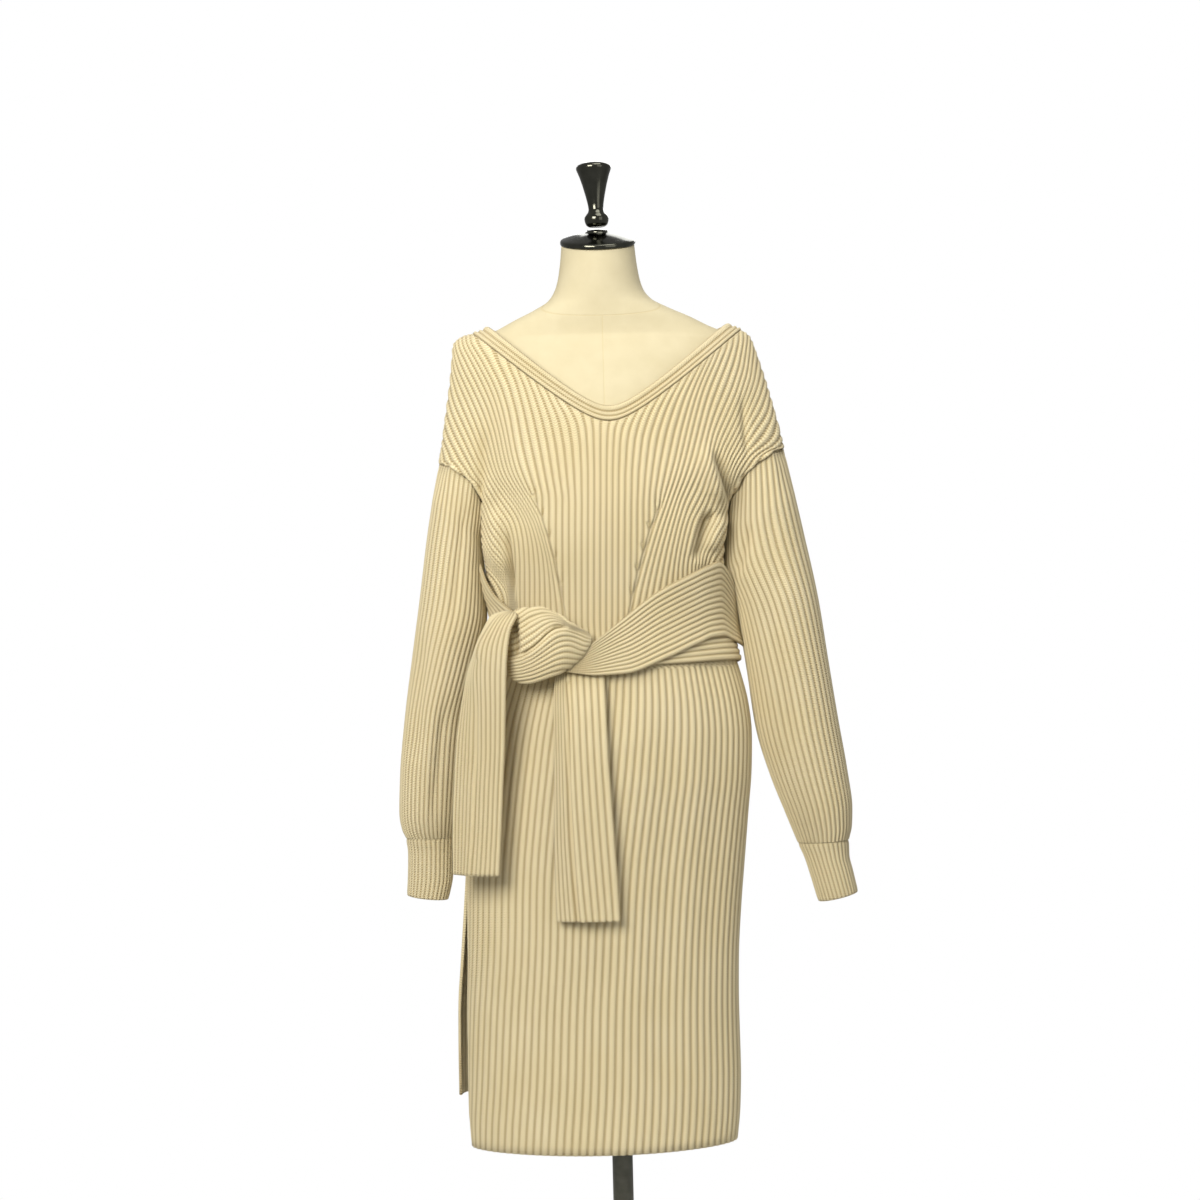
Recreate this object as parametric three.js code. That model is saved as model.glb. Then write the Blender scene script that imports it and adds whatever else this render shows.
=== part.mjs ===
import * as THREE from 'three';

// A rib-knit wool dress with a knotted tie, standing on a limbless dress form.
// Millimetres, +Z up, +X to the viewer's right, the front faces -Y.
// The origin is the middle of the underside of the stand's base.

// Driving dimensions of the knit
const WALL = 2.6;
const RIB_HEIGHT = 1.9;
const SEAM_GAP = 0.3;
const FRONT_RIBS = 44;
const BACK_RIBS = 36;
const SLEEVE_RIBS = 24;
const CUFF_RIBS = 12;
const TIE_RIBS = 5;
const TIE_WALL = 2.6;
const TIE_RIB_HEIGHT = 1.6;

// Driving dimensions of the form and its stand
const FORM_SIDES = 26;
const POLE_RADIUS = 14.3;
const POLE_TOP = 759.7;
const BASE_RADIUS = 180;
const BASE_HEIGHT = 12;
const CAP_RADIUS = 52;
const CAP_TILT = 0.30;
const CAP_HEIGHT = 1487.4;
const FINIAL_LEAN = -0.035;
const FINIAL_PLACE = [-4, -6, 1511.6];
const POLE_LIFT = 0.3;
const BASE_EDGE = 4;

// Colours
const WOOL = 0xdccfa2;
const LINEN = 0xf3ead0;
const DARK_CHROME = 0x4a4a42;
const GREY_STEEL = 0x55554d;

/** Rows of numbers under named columns, as a list of objects. */
function table(columns, rows) {
  const names = columns.split(' ');
  return rows.map((row) => Object.fromEntries(names.map((name, i) => [name, row[i]])));
}

// The dress in sections, from the neck edge (row 0) down to the hem. The left and right ends lie on the
// shoulder line, the arm and the side seam. The middle of the front and of the back have their own height
// and their own depth from the side seam. Flank is the share of that depth that the round of the side gives,
// square how full that round is, and slit how far the back's free edge stands out past the front's.
const SECTIONS = table(
  'leftX leftZ rightX rightZ frontZ frontDepth frontFlank backZ backDepth backFlank square slit',
  [
    [-158.5, 1374.5, 172, 1370.5, 1254, 101, 0.92, 1334, 78, 0.95, 2.0, 0],
    [-172, 1369, 187, 1366, 1241, 104, 0.88, 1320, 83, 0.92, 2.05, 0],
    [-188, 1365, 198, 1360, 1228, 107, 0.76, 1304, 88, 0.84, 2.2, 0],
    [-201, 1359, 206, 1351, 1215, 110, 0.63, 1287, 92, 0.74, 2.5, 0],
    [-208.5, 1350, 210, 1340, 1202, 112, 0.53, 1268, 95, 0.66, 2.8, 0],
    [-210.5, 1330, 216, 1322, 1188, 114, 0.47, 1248, 98, 0.6, 3, 0],
    [-214, 1300, 226, 1290, 1174, 116, 0.44, 1226, 100, 0.55, 3, 0],
    [-221, 1255, 236, 1252, 1160, 118, 0.42, 1202, 102, 0.52, 3.1, 0],
    [-228, 1210, 245, 1216, 1146, 120, 0.42, 1178, 103, 0.5, 3.0, 0],
    [-232, 1187, 249, 1196, 1136, 121, 0.42, 1162, 104, 0.49, 3.0, 0],
    [-215, 1180, 232, 1189, 1128, 121.5, 0.45, 1148, 104, 0.52, 3, 0],
    [-185, 1157, 200, 1166, 1120, 122, 0.5, 1133, 104, 0.57, 3.2, 0],
    [-169, 1123, 172, 1128, 1110, 122, 0.62, 1116, 104, 0.66, 3.6, 0],
    [-166, 1105, 166, 1108, 1099, 121.5, 0.72, 1099, 103.5, 0.76, 4, 0],
    [-167, 1080, 162, 1080, 1080, 120.5, 0.74, 1080, 103, 0.78, 4, 0],
    [-163, 1055, 157, 1055, 1055, 117, 0.75, 1055, 101, 0.79, 3.6, 0],
    [-156, 1030, 155, 1030, 1030, 112, 0.76, 1030, 98, 0.8, 3.1, 0],
    [-150, 1005, 155, 1005, 1005, 106, 0.78, 1005, 95, 0.82, 2.7, 0],
    [-150, 980, 157, 980, 980, 101, 0.8, 980, 93, 0.83, 2.4, 0],
    [-157, 950, 162, 950, 950, 99, 0.82, 950, 93, 0.84, 2.2, 0],
    [-167, 915, 171, 915, 915, 101, 0.82, 915, 104, 0.84, 2.2, 0],
    [-178, 880, 181, 880, 880, 107, 0.82, 880, 115, 0.84, 2.2, 0],
    [-189, 840, 190, 840, 840, 115, 0.82, 840, 122, 0.84, 2.2, 0],
    [-195, 800, 193.5, 800, 800, 119, 0.82, 800, 124, 0.84, 2.2, 0],
    [-199, 750, 192, 750, 750, 119, 0.82, 750, 124, 0.84, 2.2, 0],
    [-203, 690, 186, 690, 690, 114, 0.82, 690, 118, 0.84, 2.2, 0],
    [-207, 620, 179, 620, 620, 107, 0.82, 620, 110, 0.84, 2.2, 1],
    [-207, 560, 173, 560, 560, 103, 0.82, 560, 105, 0.84, 2.2, 5],
    [-208, 490, 168, 490, 490, 100, 0.82, 490, 102, 0.84, 2.2, 10],
    [-210, 420, 166.5, 420, 420, 98, 0.82, 420, 99, 0.84, 2.2, 14],
    [-211, 340, 167, 340, 340, 97, 0.82, 340, 97, 0.84, 2.2, 14],
    [-211, 280, 165, 280, 280, 97, 0.82, 280, 96, 0.84, 2.2, 14],
    [-208, 234, 160, 234, 234, 97, 0.82, 234, 95, 0.84, 2.2, 14],
  ],
);
const BAND_EDGE = 1;
const ARM_TOP = 9;
const ARMPIT = 13;
const ARMHOLE_STATIONS = ARMPIT - ARM_TOP;
const ARMPIT_EASE = 2.6;
const LEVEL_FROM = 14;
const SLIT_TOP = 26;
const HEM = SECTIONS.length - 1;
const BACK_HEM_HEIGHT = 302;
const SLIT_OVERLAP = 9;

// How a section rises towards its ends, how narrow the swell of its middle is, and the points that it is
// worked out in.
const RISE_POWER = 1.35;
const SWELL_POWER = 1.5;
const SECTION_STEPS = 240;
const NORMAL_STEP = 0.02;

// Soft folds that run down the front beside each arm. Each is a trough across the panel, at a share of the
// way from the middle to the side, as a depth and a width, and it fades in and out along the sections.
const FOLDS = table('side across width depth from to', [
  [-1, 0.85, 0.055, 9, 13.2, 17.8],
  [1, 0.85, 0.055, 8, 13.0, 17.0],
  [-1, 0.6, 0.12, 4, 20, 31],
  [1, 0.42, 0.14, 4, 21, 31.5],
  [1, 0.75, 0.1, 3, 19, 29],
]);

// The armholes: the outer point on the arm, the armpit, the half depth, and how far its front stands inward.
const ARMHOLES = {
  left: { outer: [-232, 1187], armpit: [-166, 1105], depth: 50, inward: [14, 11] },
  right: { outer: [249, 1196], armpit: [166, 1108], depth: 50, inward: [-12, 12] },
};

// Sleeve sections below the armhole: the outer and inner edges and the half depth, front to back.
const SLEEVES = {
  left: table('outerX outerZ innerX innerZ depth', [
    [-241.5, 1136, -175.5, 1076, 54],
    [-251, 1080, -176, 1038, 56],
    [-263, 996, -176, 976, 58],
    [-276, 912, -190, 903, 58],
    [-288, 829, -207, 825, 56],
    [-296, 755, -215, 753, 53],
    [-298.5, 700, -220, 699, 48],
    [-295.5, 677, -223, 677, 42],
    [-290.5, 665, -225.5, 665, 36],
  ]),
  right: table('outerX outerZ innerX innerZ depth', [
    [262, 1130, 173.5, 1080, 54],
    [274, 1072, 174, 1036, 57],
    [291, 985, 184, 970, 60],
    [303, 898, 194, 890, 60],
    [315, 814, 203, 806, 58],
    [325, 750, 220, 744, 54],
    [331.5, 695, 240, 690, 48],
    [330.5, 668, 250, 664, 41],
    [326, 648, 257.5, 645, 35],
  ]),
};

// The way down the sleeve at the armhole, across and down, and how many seam gaps the sleeve starts below it.
const SLEEVE_WAY = [0.78, -0.63];
const SLEEVE_GAPS = 2.4;
const RING_STEP = 0.05;

// Cuff sections from the join down to the wrist's open edge.
const CUFFS = {
  left: table('outerX outerZ innerX innerZ depth', [
    [-290.5, 664.6, -225.5, 664.6, 36],
    [-288, 642, -227.5, 642, 32],
    [-289, 612, -229, 610, 32],
    [-291, 584, -236, 577, 31],
  ]),
  right: table('outerX outerZ innerX innerZ depth', [
    [325.9, 647, 257.4, 644, 35],
    [326, 626, 266.5, 623, 32],
    [330.5, 604, 273.5, 600, 32],
    [337, 574, 284, 562, 31],
  ]),
};

// The tie's stretches round the waist. Angle is measured from the front middle towards the right side.
// Top and bottom are the edges' heights, and out is how far the stretch lies from the dress.
const TIE_UPPER = table('angle top bottom out', [
  [-17, 921, 889, 11.5],
  [-6, 938, 887, 12.5],
  [7, 967, 889, 11],
  [24, 1000, 908, 8.5],
  [42, 1022, 926, 7.5],
  [58, 1034, 940, 7.5],
  [74, 1030, 950, 7.5],
  [88.9, 1018, 956, 7.5],
]);
const TIE_BACK = table('angle top bottom out', [
  [89.1, 1018, 956, 7.5],
  [115, 1004, 942, 9.6],
  [150, 996, 936, 9],
  [180, 993, 934, 8],
  [210, 996, 936, 9],
  [245, 1008, 946, 9.6],
  [269.4, 1018, 958, 8.4],
]);
const TIE_LEFT = table('angle top bottom out', [
  [-90.4, 1018, 958, 8.4],
  [-76, 1018, 962, 8.4],
  [-62, 1006, 950, 8.4],
  [-52, 984, 930, 8.4],
]);
const TIE_LOWER = table('angle top bottom out', [
  [10, 925, 899, 2.4],
  [30, 940, 901, 2.4],
  [60, 949, 903, 2.4],
  [90, 951, 901, 4],
  [135, 938, 884, 4.6],
  [180, 930, 876, 3],
  [225, 938, 884, 4.6],
  [270, 958, 908, 3.4],
  [290, 962, 912, 2.8],
  [306, 956, 905, 2.6],
]);

// The hanging ends of the tie. Each is folded lengthwise: back edge, fold line and free edge at a height.
const TAIL_LEFT = table('height backX backY foldX foldY freeX freeY', [
  [975, -143, -107, -137, -114, -127, -119],
  [970, -158, -101, -151, -128, -124, -142],
  [953, -169, -100, -166, -139, -132, -153],
  [926, -181, -97, -181, -141, -137, -152],
  [893, -193, -94, -184, -138, -140, -147],
  [844, -204, -90, -182.5, -131, -142.5, -138],
  [795, -212, -86, -183, -125, -145, -130],
  [740, -216.5, -83, -187, -119, -149, -122],
  [680, -220, -81, -191, -113, -153, -116],
  [620, -221, -79, -197, -109, -157.5, -112],
]);
const TAIL_CENTRE = table('height backX backY foldX foldY freeX freeY', [
  [892, -75, -109.5, -62, -112, -9, -110.5],
  [878, -76, -111, -62, -119, -8.5, -116],
  [835, -77, -118, -60.5, -134, -7.5, -129],
  [780, -77.5, -121, -59.5, -139, -6, -133],
  [720, -79, -119, -58, -137, -3, -131],
  [650, -81, -113, -54.5, -131, 0.5, -126],
  [600, -81, -110, -51, -127, 3, -122],
  [556, -80.5, -108, -47, -124, 4.5, -120],
]);

const FOLD_ROUNDING = 0.35;

// The knot in sections from its left end to its right: heights of its top and bottom, its back and its front,
// and the turn of its two lobes in degrees.
const KNOT = table('x top bottom back front turn', [
  [-141, 960, 900, -96, -122, 40],
  [-134, 974.6, 886, -95, -136, 20],
  [-122, 980.8, 880, -97, -143, -10],
  [-108, 982, 879, -101, -147, -50],
  [-94, 982, 883, -105, -150, -90],
  [-80, 978, 889, -108, -151, -120],
  [-66, 970, 895, -110.5, -150, -146],
  [-52, 959, 903, -112.4, -148, -165],
  [-38, 950, 913, -115.4, -142, -175],
  [-26, 943, 921, -116.4, -135, -180],
]);
const KNOT_SIDES = 28;
const KNOT_LOBE = 0.1;
const KNOT_RIBS = 10;
const KNOT_RIB_HEIGHT = 0.02;
const KNOT_STATIONS = 15;

// The form in level rings: half width, front and back depth, and how far the ring tilts down at its front.
const FORM = table('height half front back tilt', [
  [760, 164, 104, 115, 0],
  [810, 168, 107, 118, 0],
  [860, 162, 102, 109, 0],
  [915, 143, 92, 94, 0],
  [960, 128, 85, 86, 0],
  [1010, 121, 82, 80, 0],
  [1060, 125, 88, 82, 0],
  [1110, 132, 100, 87, 0],
  [1165, 141, 109, 92, 0],
  [1210, 148, 106, 94, 0],
  [1250, 157, 97, 93, 0],
  [1290, 170, 84, 88, 0],
  [1320, 184, 68, 78, 0],
  [1338, 193, 54, 64, 0],
  [1350, 191, 46, 56, 0],
  [1360, 172.4, 42, 53, 0],
  [1370, 149, 42.5, 52.5, 0],
  [1384, 122, 44, 52, 0],
  [1397, 94, 45, 51, 0],
  [1410, 72, 46, 50, 0.05],
  [1424, 62, 47, 50, 0.1],
  [1440, 57, 48, 50, 0.15],
  [1466, 53, 49, 50, 0.25],
  [1487, 51, 49, 49, CAP_TILT],
]);
const NECK_SHIFT = -3.5;
const NECK_FROM = 1380;
const NECK_TO = 1424;

/** A column of a table at any place between its rows, on a smooth curve that never overshoots. */
function along(rows, name, at) {
  const last = rows.length - 1;
  const place = Math.min(Math.max(at, 0), last);
  const i = Math.min(Math.floor(place), last - 1);
  const t = place - i;
  const rise = (k) => rows[k + 1][name] - rows[k][name];
  const slope = (k) => {
    if (k === 0) return rise(0);
    if (k === last) return rise(last - 1);
    const before = rise(k - 1);
    const after = rise(k);
    return before * after > 0 ? (2 * before * after) / (before + after) : 0;
  };
  const start = rows[i][name];
  const end = rows[i + 1][name];
  const square = t * t;
  const cube = square * t;
  return (
    start * (2 * cube - 3 * square + 1) + slope(i) * (cube - 2 * square + t) +
    end * (3 * square - 2 * cube) + slope(i + 1) * (cube - square)
  );
}

/** A soft step from 0 to 1 between two values. */
function ramp(from, to, value) {
  const t = Math.min(Math.max((value - from) / (to - from), 0), 1);
  return t * t * (3 - 2 * t);
}

/** A point on an armhole. Turn 0 is the outer point, 1 the armpit, by way of the front or the back. */
function armholePoint(hole, turn, facing) {
  const angle = turn * Math.PI;
  const reach = Math.cos(angle) / 2;
  const swing = Math.sin(angle);
  const x = (hole.outer[0] + hole.armpit[0]) / 2 + (hole.outer[0] - hole.armpit[0]) * reach;
  const z = (hole.outer[1] + hole.armpit[1]) / 2 + (hole.outer[1] - hole.armpit[1]) * reach;
  const inward = swing * swing;
  return new THREE.Vector3(x + hole.inward[0] * inward, facing * hole.depth * swing, z + hole.inward[1] * inward);
}

/** The seam of an armhole, straight between its stations so that both sides of the seam share one line. */
function armholeSeam(hole, turn, facing) {
  const place = Math.min(Math.max(turn, 0), 1) * ARMHOLE_STATIONS;
  const station = Math.min(Math.floor(place), ARMHOLE_STATIONS - 1);
  const from = armholePoint(hole, station / ARMHOLE_STATIONS, facing);
  const to = armholePoint(hole, (station + 1) / ARMHOLE_STATIONS, facing);
  return from.lerp(to, place - station);
}

/** The inner edge of the wall at an armhole's seam, a wall's thickness towards the middle of the hole. */
function armholeInside(hole, point) {
  const middle = new THREE.Vector3((hole.outer[0] + hole.armpit[0]) / 2, 0, (hole.outer[1] + hole.armpit[1]) / 2);
  return point.clone().addScaledVector(middle.sub(point).normalize(), WALL);
}

/** The two ends of a dress section on the seams. Facing is -1 on the front and 1 on the back. */
function sectionEnds(facing, at) {
  const gap = (facing * SEAM_GAP) / 2;
  if (at > ARM_TOP && at < ARMPIT) {
    const turn = (at - ARM_TOP) / (ARMPIT - ARM_TOP);
    const ends = [armholeSeam(ARMHOLES.left, turn, facing), armholeSeam(ARMHOLES.right, turn, facing)];
    ends.forEach((end) => { end.y += gap; });
    return ends;
  }
  const slit = facing > 0 ? along(SECTIONS, 'slit', at) : 0;
  const overlap = facing < 0 ? SLIT_OVERLAP * ramp(SLIT_TOP, SLIT_TOP + 2, at) : 0;
  return [
    new THREE.Vector3(along(SECTIONS, 'leftX', at) - slit, gap - overlap, along(SECTIONS, 'leftZ', at)),
    new THREE.Vector3(along(SECTIONS, 'rightX', at), gap, along(SECTIONS, 'rightZ', at)),
  ];
}

/** How far the troughs of the folds push a point of the front inward. */
function foldDepth(across, at) {
  return FOLDS.reduce((sum, fold) => {
    const middle = (fold.from + fold.to) / 2;
    const fade = ramp(fold.from, middle, at) * (1 - ramp(middle, fold.to, at)) * 4;
    const distance = (across - fold.side * fold.across) / fold.width;
    return sum + fold.depth * Math.min(fade, 1) * Math.exp(-distance * distance);
  }, 0);
}

/** The two parts of a panel's depth at a place across it: the round of the side and the swell of the middle. */
function swelling(across, square) {
  return {
    flank: (1 - Math.min(Math.abs(across), 1) ** square) ** (1 / square),
    middle: (1 - Math.min(across * across, 1)) ** SWELL_POWER,
  };
}

/** One dress section as a fine line of points from its left end to its right. */
function sectionLine(facing, at) {
  const [left, right] = sectionEnds(facing, at);
  const name = facing < 0 ? 'front' : 'back';
  const depth = along(SECTIONS, `${name}Depth`, at);
  const flank = depth * along(SECTIONS, `${name}Flank`, at);
  const height = along(SECTIONS, `${name}Z`, at);
  const square = along(SECTIONS, 'square', at);
  const line = [];
  for (let i = 0; i <= SECTION_STEPS; i += 1) {
    const across = -Math.cos(Math.PI * ramp(0, SECTION_STEPS, i));
    const swell = swelling(across, square);
    const fold = facing < 0 ? foldDepth(across, at) * swell.flank : 0;
    const end = across < 0 ? left : right;
    const forward = flank * swell.flank + (depth - flank) * swell.middle - fold;
    line.push(new THREE.Vector3(
      (left.x + right.x) / 2 + ((right.x - left.x) / 2) * across,
      end.y * (1 - swell.flank) + facing * forward,
      height + (end.z - height) * Math.abs(across) ** RISE_POWER,
    ));
  }
  return line;
}

/** A line of points resampled to places that are even along its length. */
function evenly(line) {
  const lengths = [0];
  for (let i = 1; i < line.length; i += 1) {
    lengths.push(lengths[i - 1] + line[i].distanceTo(line[i - 1]));
  }
  return (share) => {
    const wanted = share * lengths[lengths.length - 1];
    let i = 1;
    while (i < line.length - 1 && lengths[i] < wanted) i += 1;
    const t = (wanted - lengths[i - 1]) / (lengths[i] - lengths[i - 1]);
    return line[i - 1].clone().lerp(line[i], Math.min(Math.max(t, 0), 1));
  };
}

/** The plain outer surface of a dress panel: a point and its outward normal at a share across a section. */
function panelSurface(facing) {
  const kept = new Map();
  const section = (at) => {
    const key = at.toFixed(4);
    if (!kept.has(key)) kept.set(key, evenly(sectionLine(facing, at)));
    return kept.get(key);
  };
  return (share, at) => {
    const point = section(at)(share);
    const aside = section(at)(Math.min(share + NORMAL_STEP, 1)).sub(section(at)(Math.max(share - NORMAL_STEP, 0)));
    const below = section(Math.min(at + NORMAL_STEP, HEM))(share);
    const down = below.sub(section(Math.max(at - NORMAL_STEP, 0))(share));
    const normal = down.cross(aside).normalize();
    if (facing > 0) normal.negate();
    return { point, normal };
  };
}

const frontSurface = panelSurface(-1);
const backSurface = panelSurface(1);

/** A closed mesh from points and triangles, turned so that its faces point out. */
function closedGeometry(points, triangles) {
  let volume = 0;
  triangles.forEach(([a, b, c]) => {
    volume += points[a].dot(points[b].clone().cross(points[c]));
  });
  const index = triangles.flatMap(([a, b, c]) => (volume > 0 ? [a, b, c] : [a, c, b]));
  const geometry = new THREE.BufferGeometry();
  geometry.setAttribute('position', new THREE.Float32BufferAttribute(points.flatMap((p) => p.toArray()), 3));
  geometry.setIndex(index);
  geometry.computeVertexNormals();
  return geometry;
}

/** A closed wall between an outer grid and a plainer inner grid with the same number of rows. */
function wallGeometry(outer, inner, round) {
  const points = [...outer.flat(), ...inner.flat()];
  const triangles = [];
  const rows = outer.length;
  const wide = outer[0].length;
  const narrow = inner[0].length;
  const onOuter = (row, column) => row * wide + (column % wide);
  const onInner = (row, column) => rows * wide + row * narrow + (column % narrow);
  const outerSteps = round ? wide : wide - 1;
  const innerSteps = round ? narrow : narrow - 1;
  for (let row = 0; row < rows - 1; row += 1) {
    for (let i = 0; i < outerSteps; i += 1) {
      const corners = [onOuter(row, i), onOuter(row + 1, i), onOuter(row + 1, i + 1), onOuter(row, i + 1)];
      triangles.push([corners[0], corners[1], corners[2]], [corners[0], corners[2], corners[3]]);
    }
    for (let i = 0; i < innerSteps; i += 1) {
      const corners = [onInner(row, i), onInner(row + 1, i), onInner(row + 1, i + 1), onInner(row, i + 1)];
      triangles.push([corners[0], corners[2], corners[1]], [corners[0], corners[3], corners[2]]);
    }
    if (!round) {
      triangles.push([onOuter(row + 1, 0), onOuter(row, 0), onInner(row, 0)]);
      triangles.push([onOuter(row + 1, 0), onInner(row, 0), onInner(row + 1, 0)]);
      const o = wide - 1;
      const n = narrow - 1;
      triangles.push([onOuter(row, o), onOuter(row + 1, o), onInner(row + 1, n)]);
      triangles.push([onOuter(row, o), onInner(row + 1, n), onInner(row, n)]);
    }
  }
  const rim = (row, flip) => {
    let i = 0;
    let k = 0;
    while (i < outerSteps || k < innerSteps) {
      const outerNext = i < outerSteps && (k === innerSteps || (i + 0.5) / outerSteps <= (k + 1) / innerSteps);
      const face = outerNext
        ? [onOuter(row, i), onOuter(row, i + 1), onInner(row, k)]
        : [onInner(row, k + 1), onInner(row, k), onOuter(row, i)];
      if (outerNext) i += 1;
      else k += 1;
      triangles.push(flip ? [face[1], face[0], face[2]] : face);
    }
  };
  rim(0, false);
  rim(rows - 1, true);
  return closedGeometry(points, triangles);
}

/** A closed solid through rings with the same number of points, capped at both ends. */
function solidGeometry(rings) {
  const sides = rings[0].length;
  const points = rings.flat();
  const triangles = [];
  for (let row = 0; row < rings.length - 1; row += 1) {
    for (let i = 0; i < sides; i += 1) {
      const j = (i + 1) % sides;
      const a = row * sides;
      const b = a + sides;
      triangles.push([a + i, b + i, b + j], [a + i, b + j, a + j]);
    }
  }
  const cap = (row, flip) => {
    const middle = rings[row].reduce((sum, p) => sum.add(p), new THREE.Vector3()).divideScalar(sides);
    const centre = points.push(middle) - 1;
    for (let i = 0; i < sides; i += 1) {
      const a = row * sides + i;
      const b = row * sides + ((i + 1) % sides);
      triangles.push(flip ? [a, centre, b] : [a, b, centre]);
    }
  };
  cap(0, false);
  cap(rings.length - 1, true);
  return closedGeometry(points, triangles);
}

/** A named piece with its own finish. */
function piece(name, geometry, color, roughness, metalness) {
  const material = new THREE.MeshStandardMaterial({ color, roughness, metalness });
  const mesh = new THREE.Mesh(geometry, material);
  mesh.name = name;
  return mesh;
}

/** A piece of the knitted cloth. */
function knit(name, geometry) {
  return piece(name, geometry, WOOL, 0.95, 0);
}

/** Even places from a start to an end, both included. */
function places(start, end, count) {
  return Array.from({ length: count }, (_, i) => start + ((end - start) * i) / (count - 1));
}

/** The section that lies at a height, below the armpit. */
function sectionAtHeight(height) {
  let low = LEVEL_FROM;
  let high = HEM;
  for (let i = 0; i < 40; i += 1) {
    const middle = (low + high) / 2;
    if (along(SECTIONS, 'frontZ', middle) > height) low = middle;
    else high = middle;
  }
  return (low + high) / 2;
}

/** A dress panel: ribs on the outer side and a plain inner side. */
function panel(name, facing, surface, ribs, rows) {
  const outer = [];
  const inner = [];
  rows.forEach((at) => {
    const outerRow = [];
    const innerRow = [];
    for (let i = 0; i <= ribs * 2; i += 1) {
      const { point, normal } = surface(i / (ribs * 2), at);
      const ridge = point.clone().addScaledVector(normal, i % 2 ? RIB_HEIGHT : 0);
      const plain = point.clone().addScaledVector(normal, -WALL);
      if (i === 0 || i === ribs * 2) {
        plain.y = point.y;
        if (at > ARM_TOP && at < ARMPIT) plain.copy(armholeInside(i === 0 ? ARMHOLES.left : ARMHOLES.right, point));
      }
      outerRow.push(ridge);
      if (i % 4 === 0) innerRow.push(plain);
    }
    outer.push(outerRow);
    inner.push(innerRow);
  });
  return knit(name, wallGeometry(outer, inner, false));
}

function dressFront() {
  const rows = [
    BAND_EDGE + 0.04, 3, 5, 7, 9, 10, 11, 12, 13, 14.5, 16, 17, 18, 19.2, 20.5, 22, 24, 27, 30, HEM,
  ];
  return panel('dress_front', -1, frontSurface, FRONT_RIBS, rows);
}

function dressBack() {
  const hem = sectionAtHeight(BACK_HEM_HEIGHT);
  const rows = [BAND_EDGE + 0.04, 3, 5, 7, 9, 10, 11, 12, 13, 16, 17, 18, 19.2, 20.5, 22, 24, 27, 29.5, hem];
  return panel('dress_back', 1, backSurface, BACK_RIBS, rows);
}

/** The band round the neck: a rolled edge and two ribs that run along it, front and back in one ring. */
function neckband() {
  const steps = 32;
  const profile = table('at lift', [
    [0, 0.6],
    [0.3, 2.6],
    [0.52, 1],
    [0.78, 2.4],
    [0.975, 0.8],
  ]);
  const place = (i, at) => {
    const share = (i % steps) / steps;
    return i < steps ? frontSurface(share, at) : backSurface(1 - share, at);
  };
  const outer = profile.map(({ at, lift }) => places(0, steps * 2 - 1, steps * 2).map((i) => {
    const { point, normal } = place(i, at);
    return point.addScaledVector(normal, lift);
  }));
  const inner = profile.map(({ at }) => places(0, steps * 2 - 4, steps / 2).map((i) => {
    const { point, normal } = place(i, at);
    return point.addScaledVector(normal, -WALL);
  }));
  return knit('neckband', wallGeometry(outer, inner, true));
}

/** A ring of a sleeve through its outer and inner edges, at an angle from its outer edge by way of the front. */
function sleeveRing(row, angle) {
  const reach = Math.cos(angle) / 2;
  return new THREE.Vector3(
    (row.outerX + row.innerX) / 2 + (row.outerX - row.innerX) * reach,
    -row.depth * Math.sin(angle),
    (row.outerZ + row.innerZ) / 2 + (row.outerZ - row.innerZ) * reach,
  );
}

/** The armhole's own ring, moved down the sleeve by the seam's gap and a little more at the armpit. */
function armholeRing(hole, angle) {
  const full = 2 * Math.PI;
  const round = ((angle % full) + full) % full;
  const turn = round <= Math.PI ? round / Math.PI : 2 - round / Math.PI;
  const axis = new THREE.Vector3(Math.sign(hole.outer[0]) * SLEEVE_WAY[0], 0, SLEEVE_WAY[1]);
  const point = armholeSeam(hole, turn, round <= Math.PI ? -1 : 1);
  return point.addScaledVector(axis, SEAM_GAP * SLEEVE_GAPS + ARMPIT_EASE * turn ** 3);
}

/** A ribbed tube of cloth through rings, each a function of the angle. It may start on an armhole's seam. */
function ribbedTube(name, rings, ribs, hole) {
  const columns = ribs * 2;
  const angleOf = (i) => (2 * Math.PI * i) / columns;
  const centres = rings.map((ring) => {
    const sum = new THREE.Vector3();
    for (let i = 0; i < columns; i += 1) sum.add(ring(angleOf(i)));
    return sum.divideScalar(columns);
  });
  const outward = (k, i) => {
    const ring = rings[k];
    const round = ring(angleOf(i) + RING_STEP).sub(ring(angleOf(i) - RING_STEP + 2 * Math.PI));
    const axis = centres[Math.min(k + 1, rings.length - 1)].clone().sub(centres[Math.max(k - 1, 0)]);
    const normal = axis.cross(round).normalize();
    return normal.dot(ring(angleOf(i)).sub(centres[k])) < 0 ? normal.negate() : normal;
  };
  const outer = rings.map((ring, k) => places(0, columns - 1, columns).map((i) => (
    ring(angleOf(i)).addScaledVector(outward(k, i), i % 2 && !(hole && k === 0) ? RIB_HEIGHT : 0)
  )));
  const inner = rings.map((ring, k) => places(0, columns - 4, columns / 4).map((i) => {
    const point = ring(angleOf(i));
    return hole && k === 0 ? armholeInside(hole, point) : point.addScaledVector(outward(k, i), -WALL);
  }));
  return knit(name, wallGeometry(outer, inner, true));
}

function sleeve(side) {
  const first = (angle) => armholeRing(ARMHOLES[side], angle);
  const rings = [first, ...SLEEVES[side].map((row) => (angle) => sleeveRing(row, angle))];
  return ribbedTube(`sleeve_${side}`, rings, SLEEVE_RIBS, ARMHOLES[side]);
}

function cuff(side) {
  return ribbedTube(`cuff_${side}`, CUFFS[side].map((row) => (angle) => sleeveRing(row, angle)), CUFF_RIBS);
}

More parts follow.
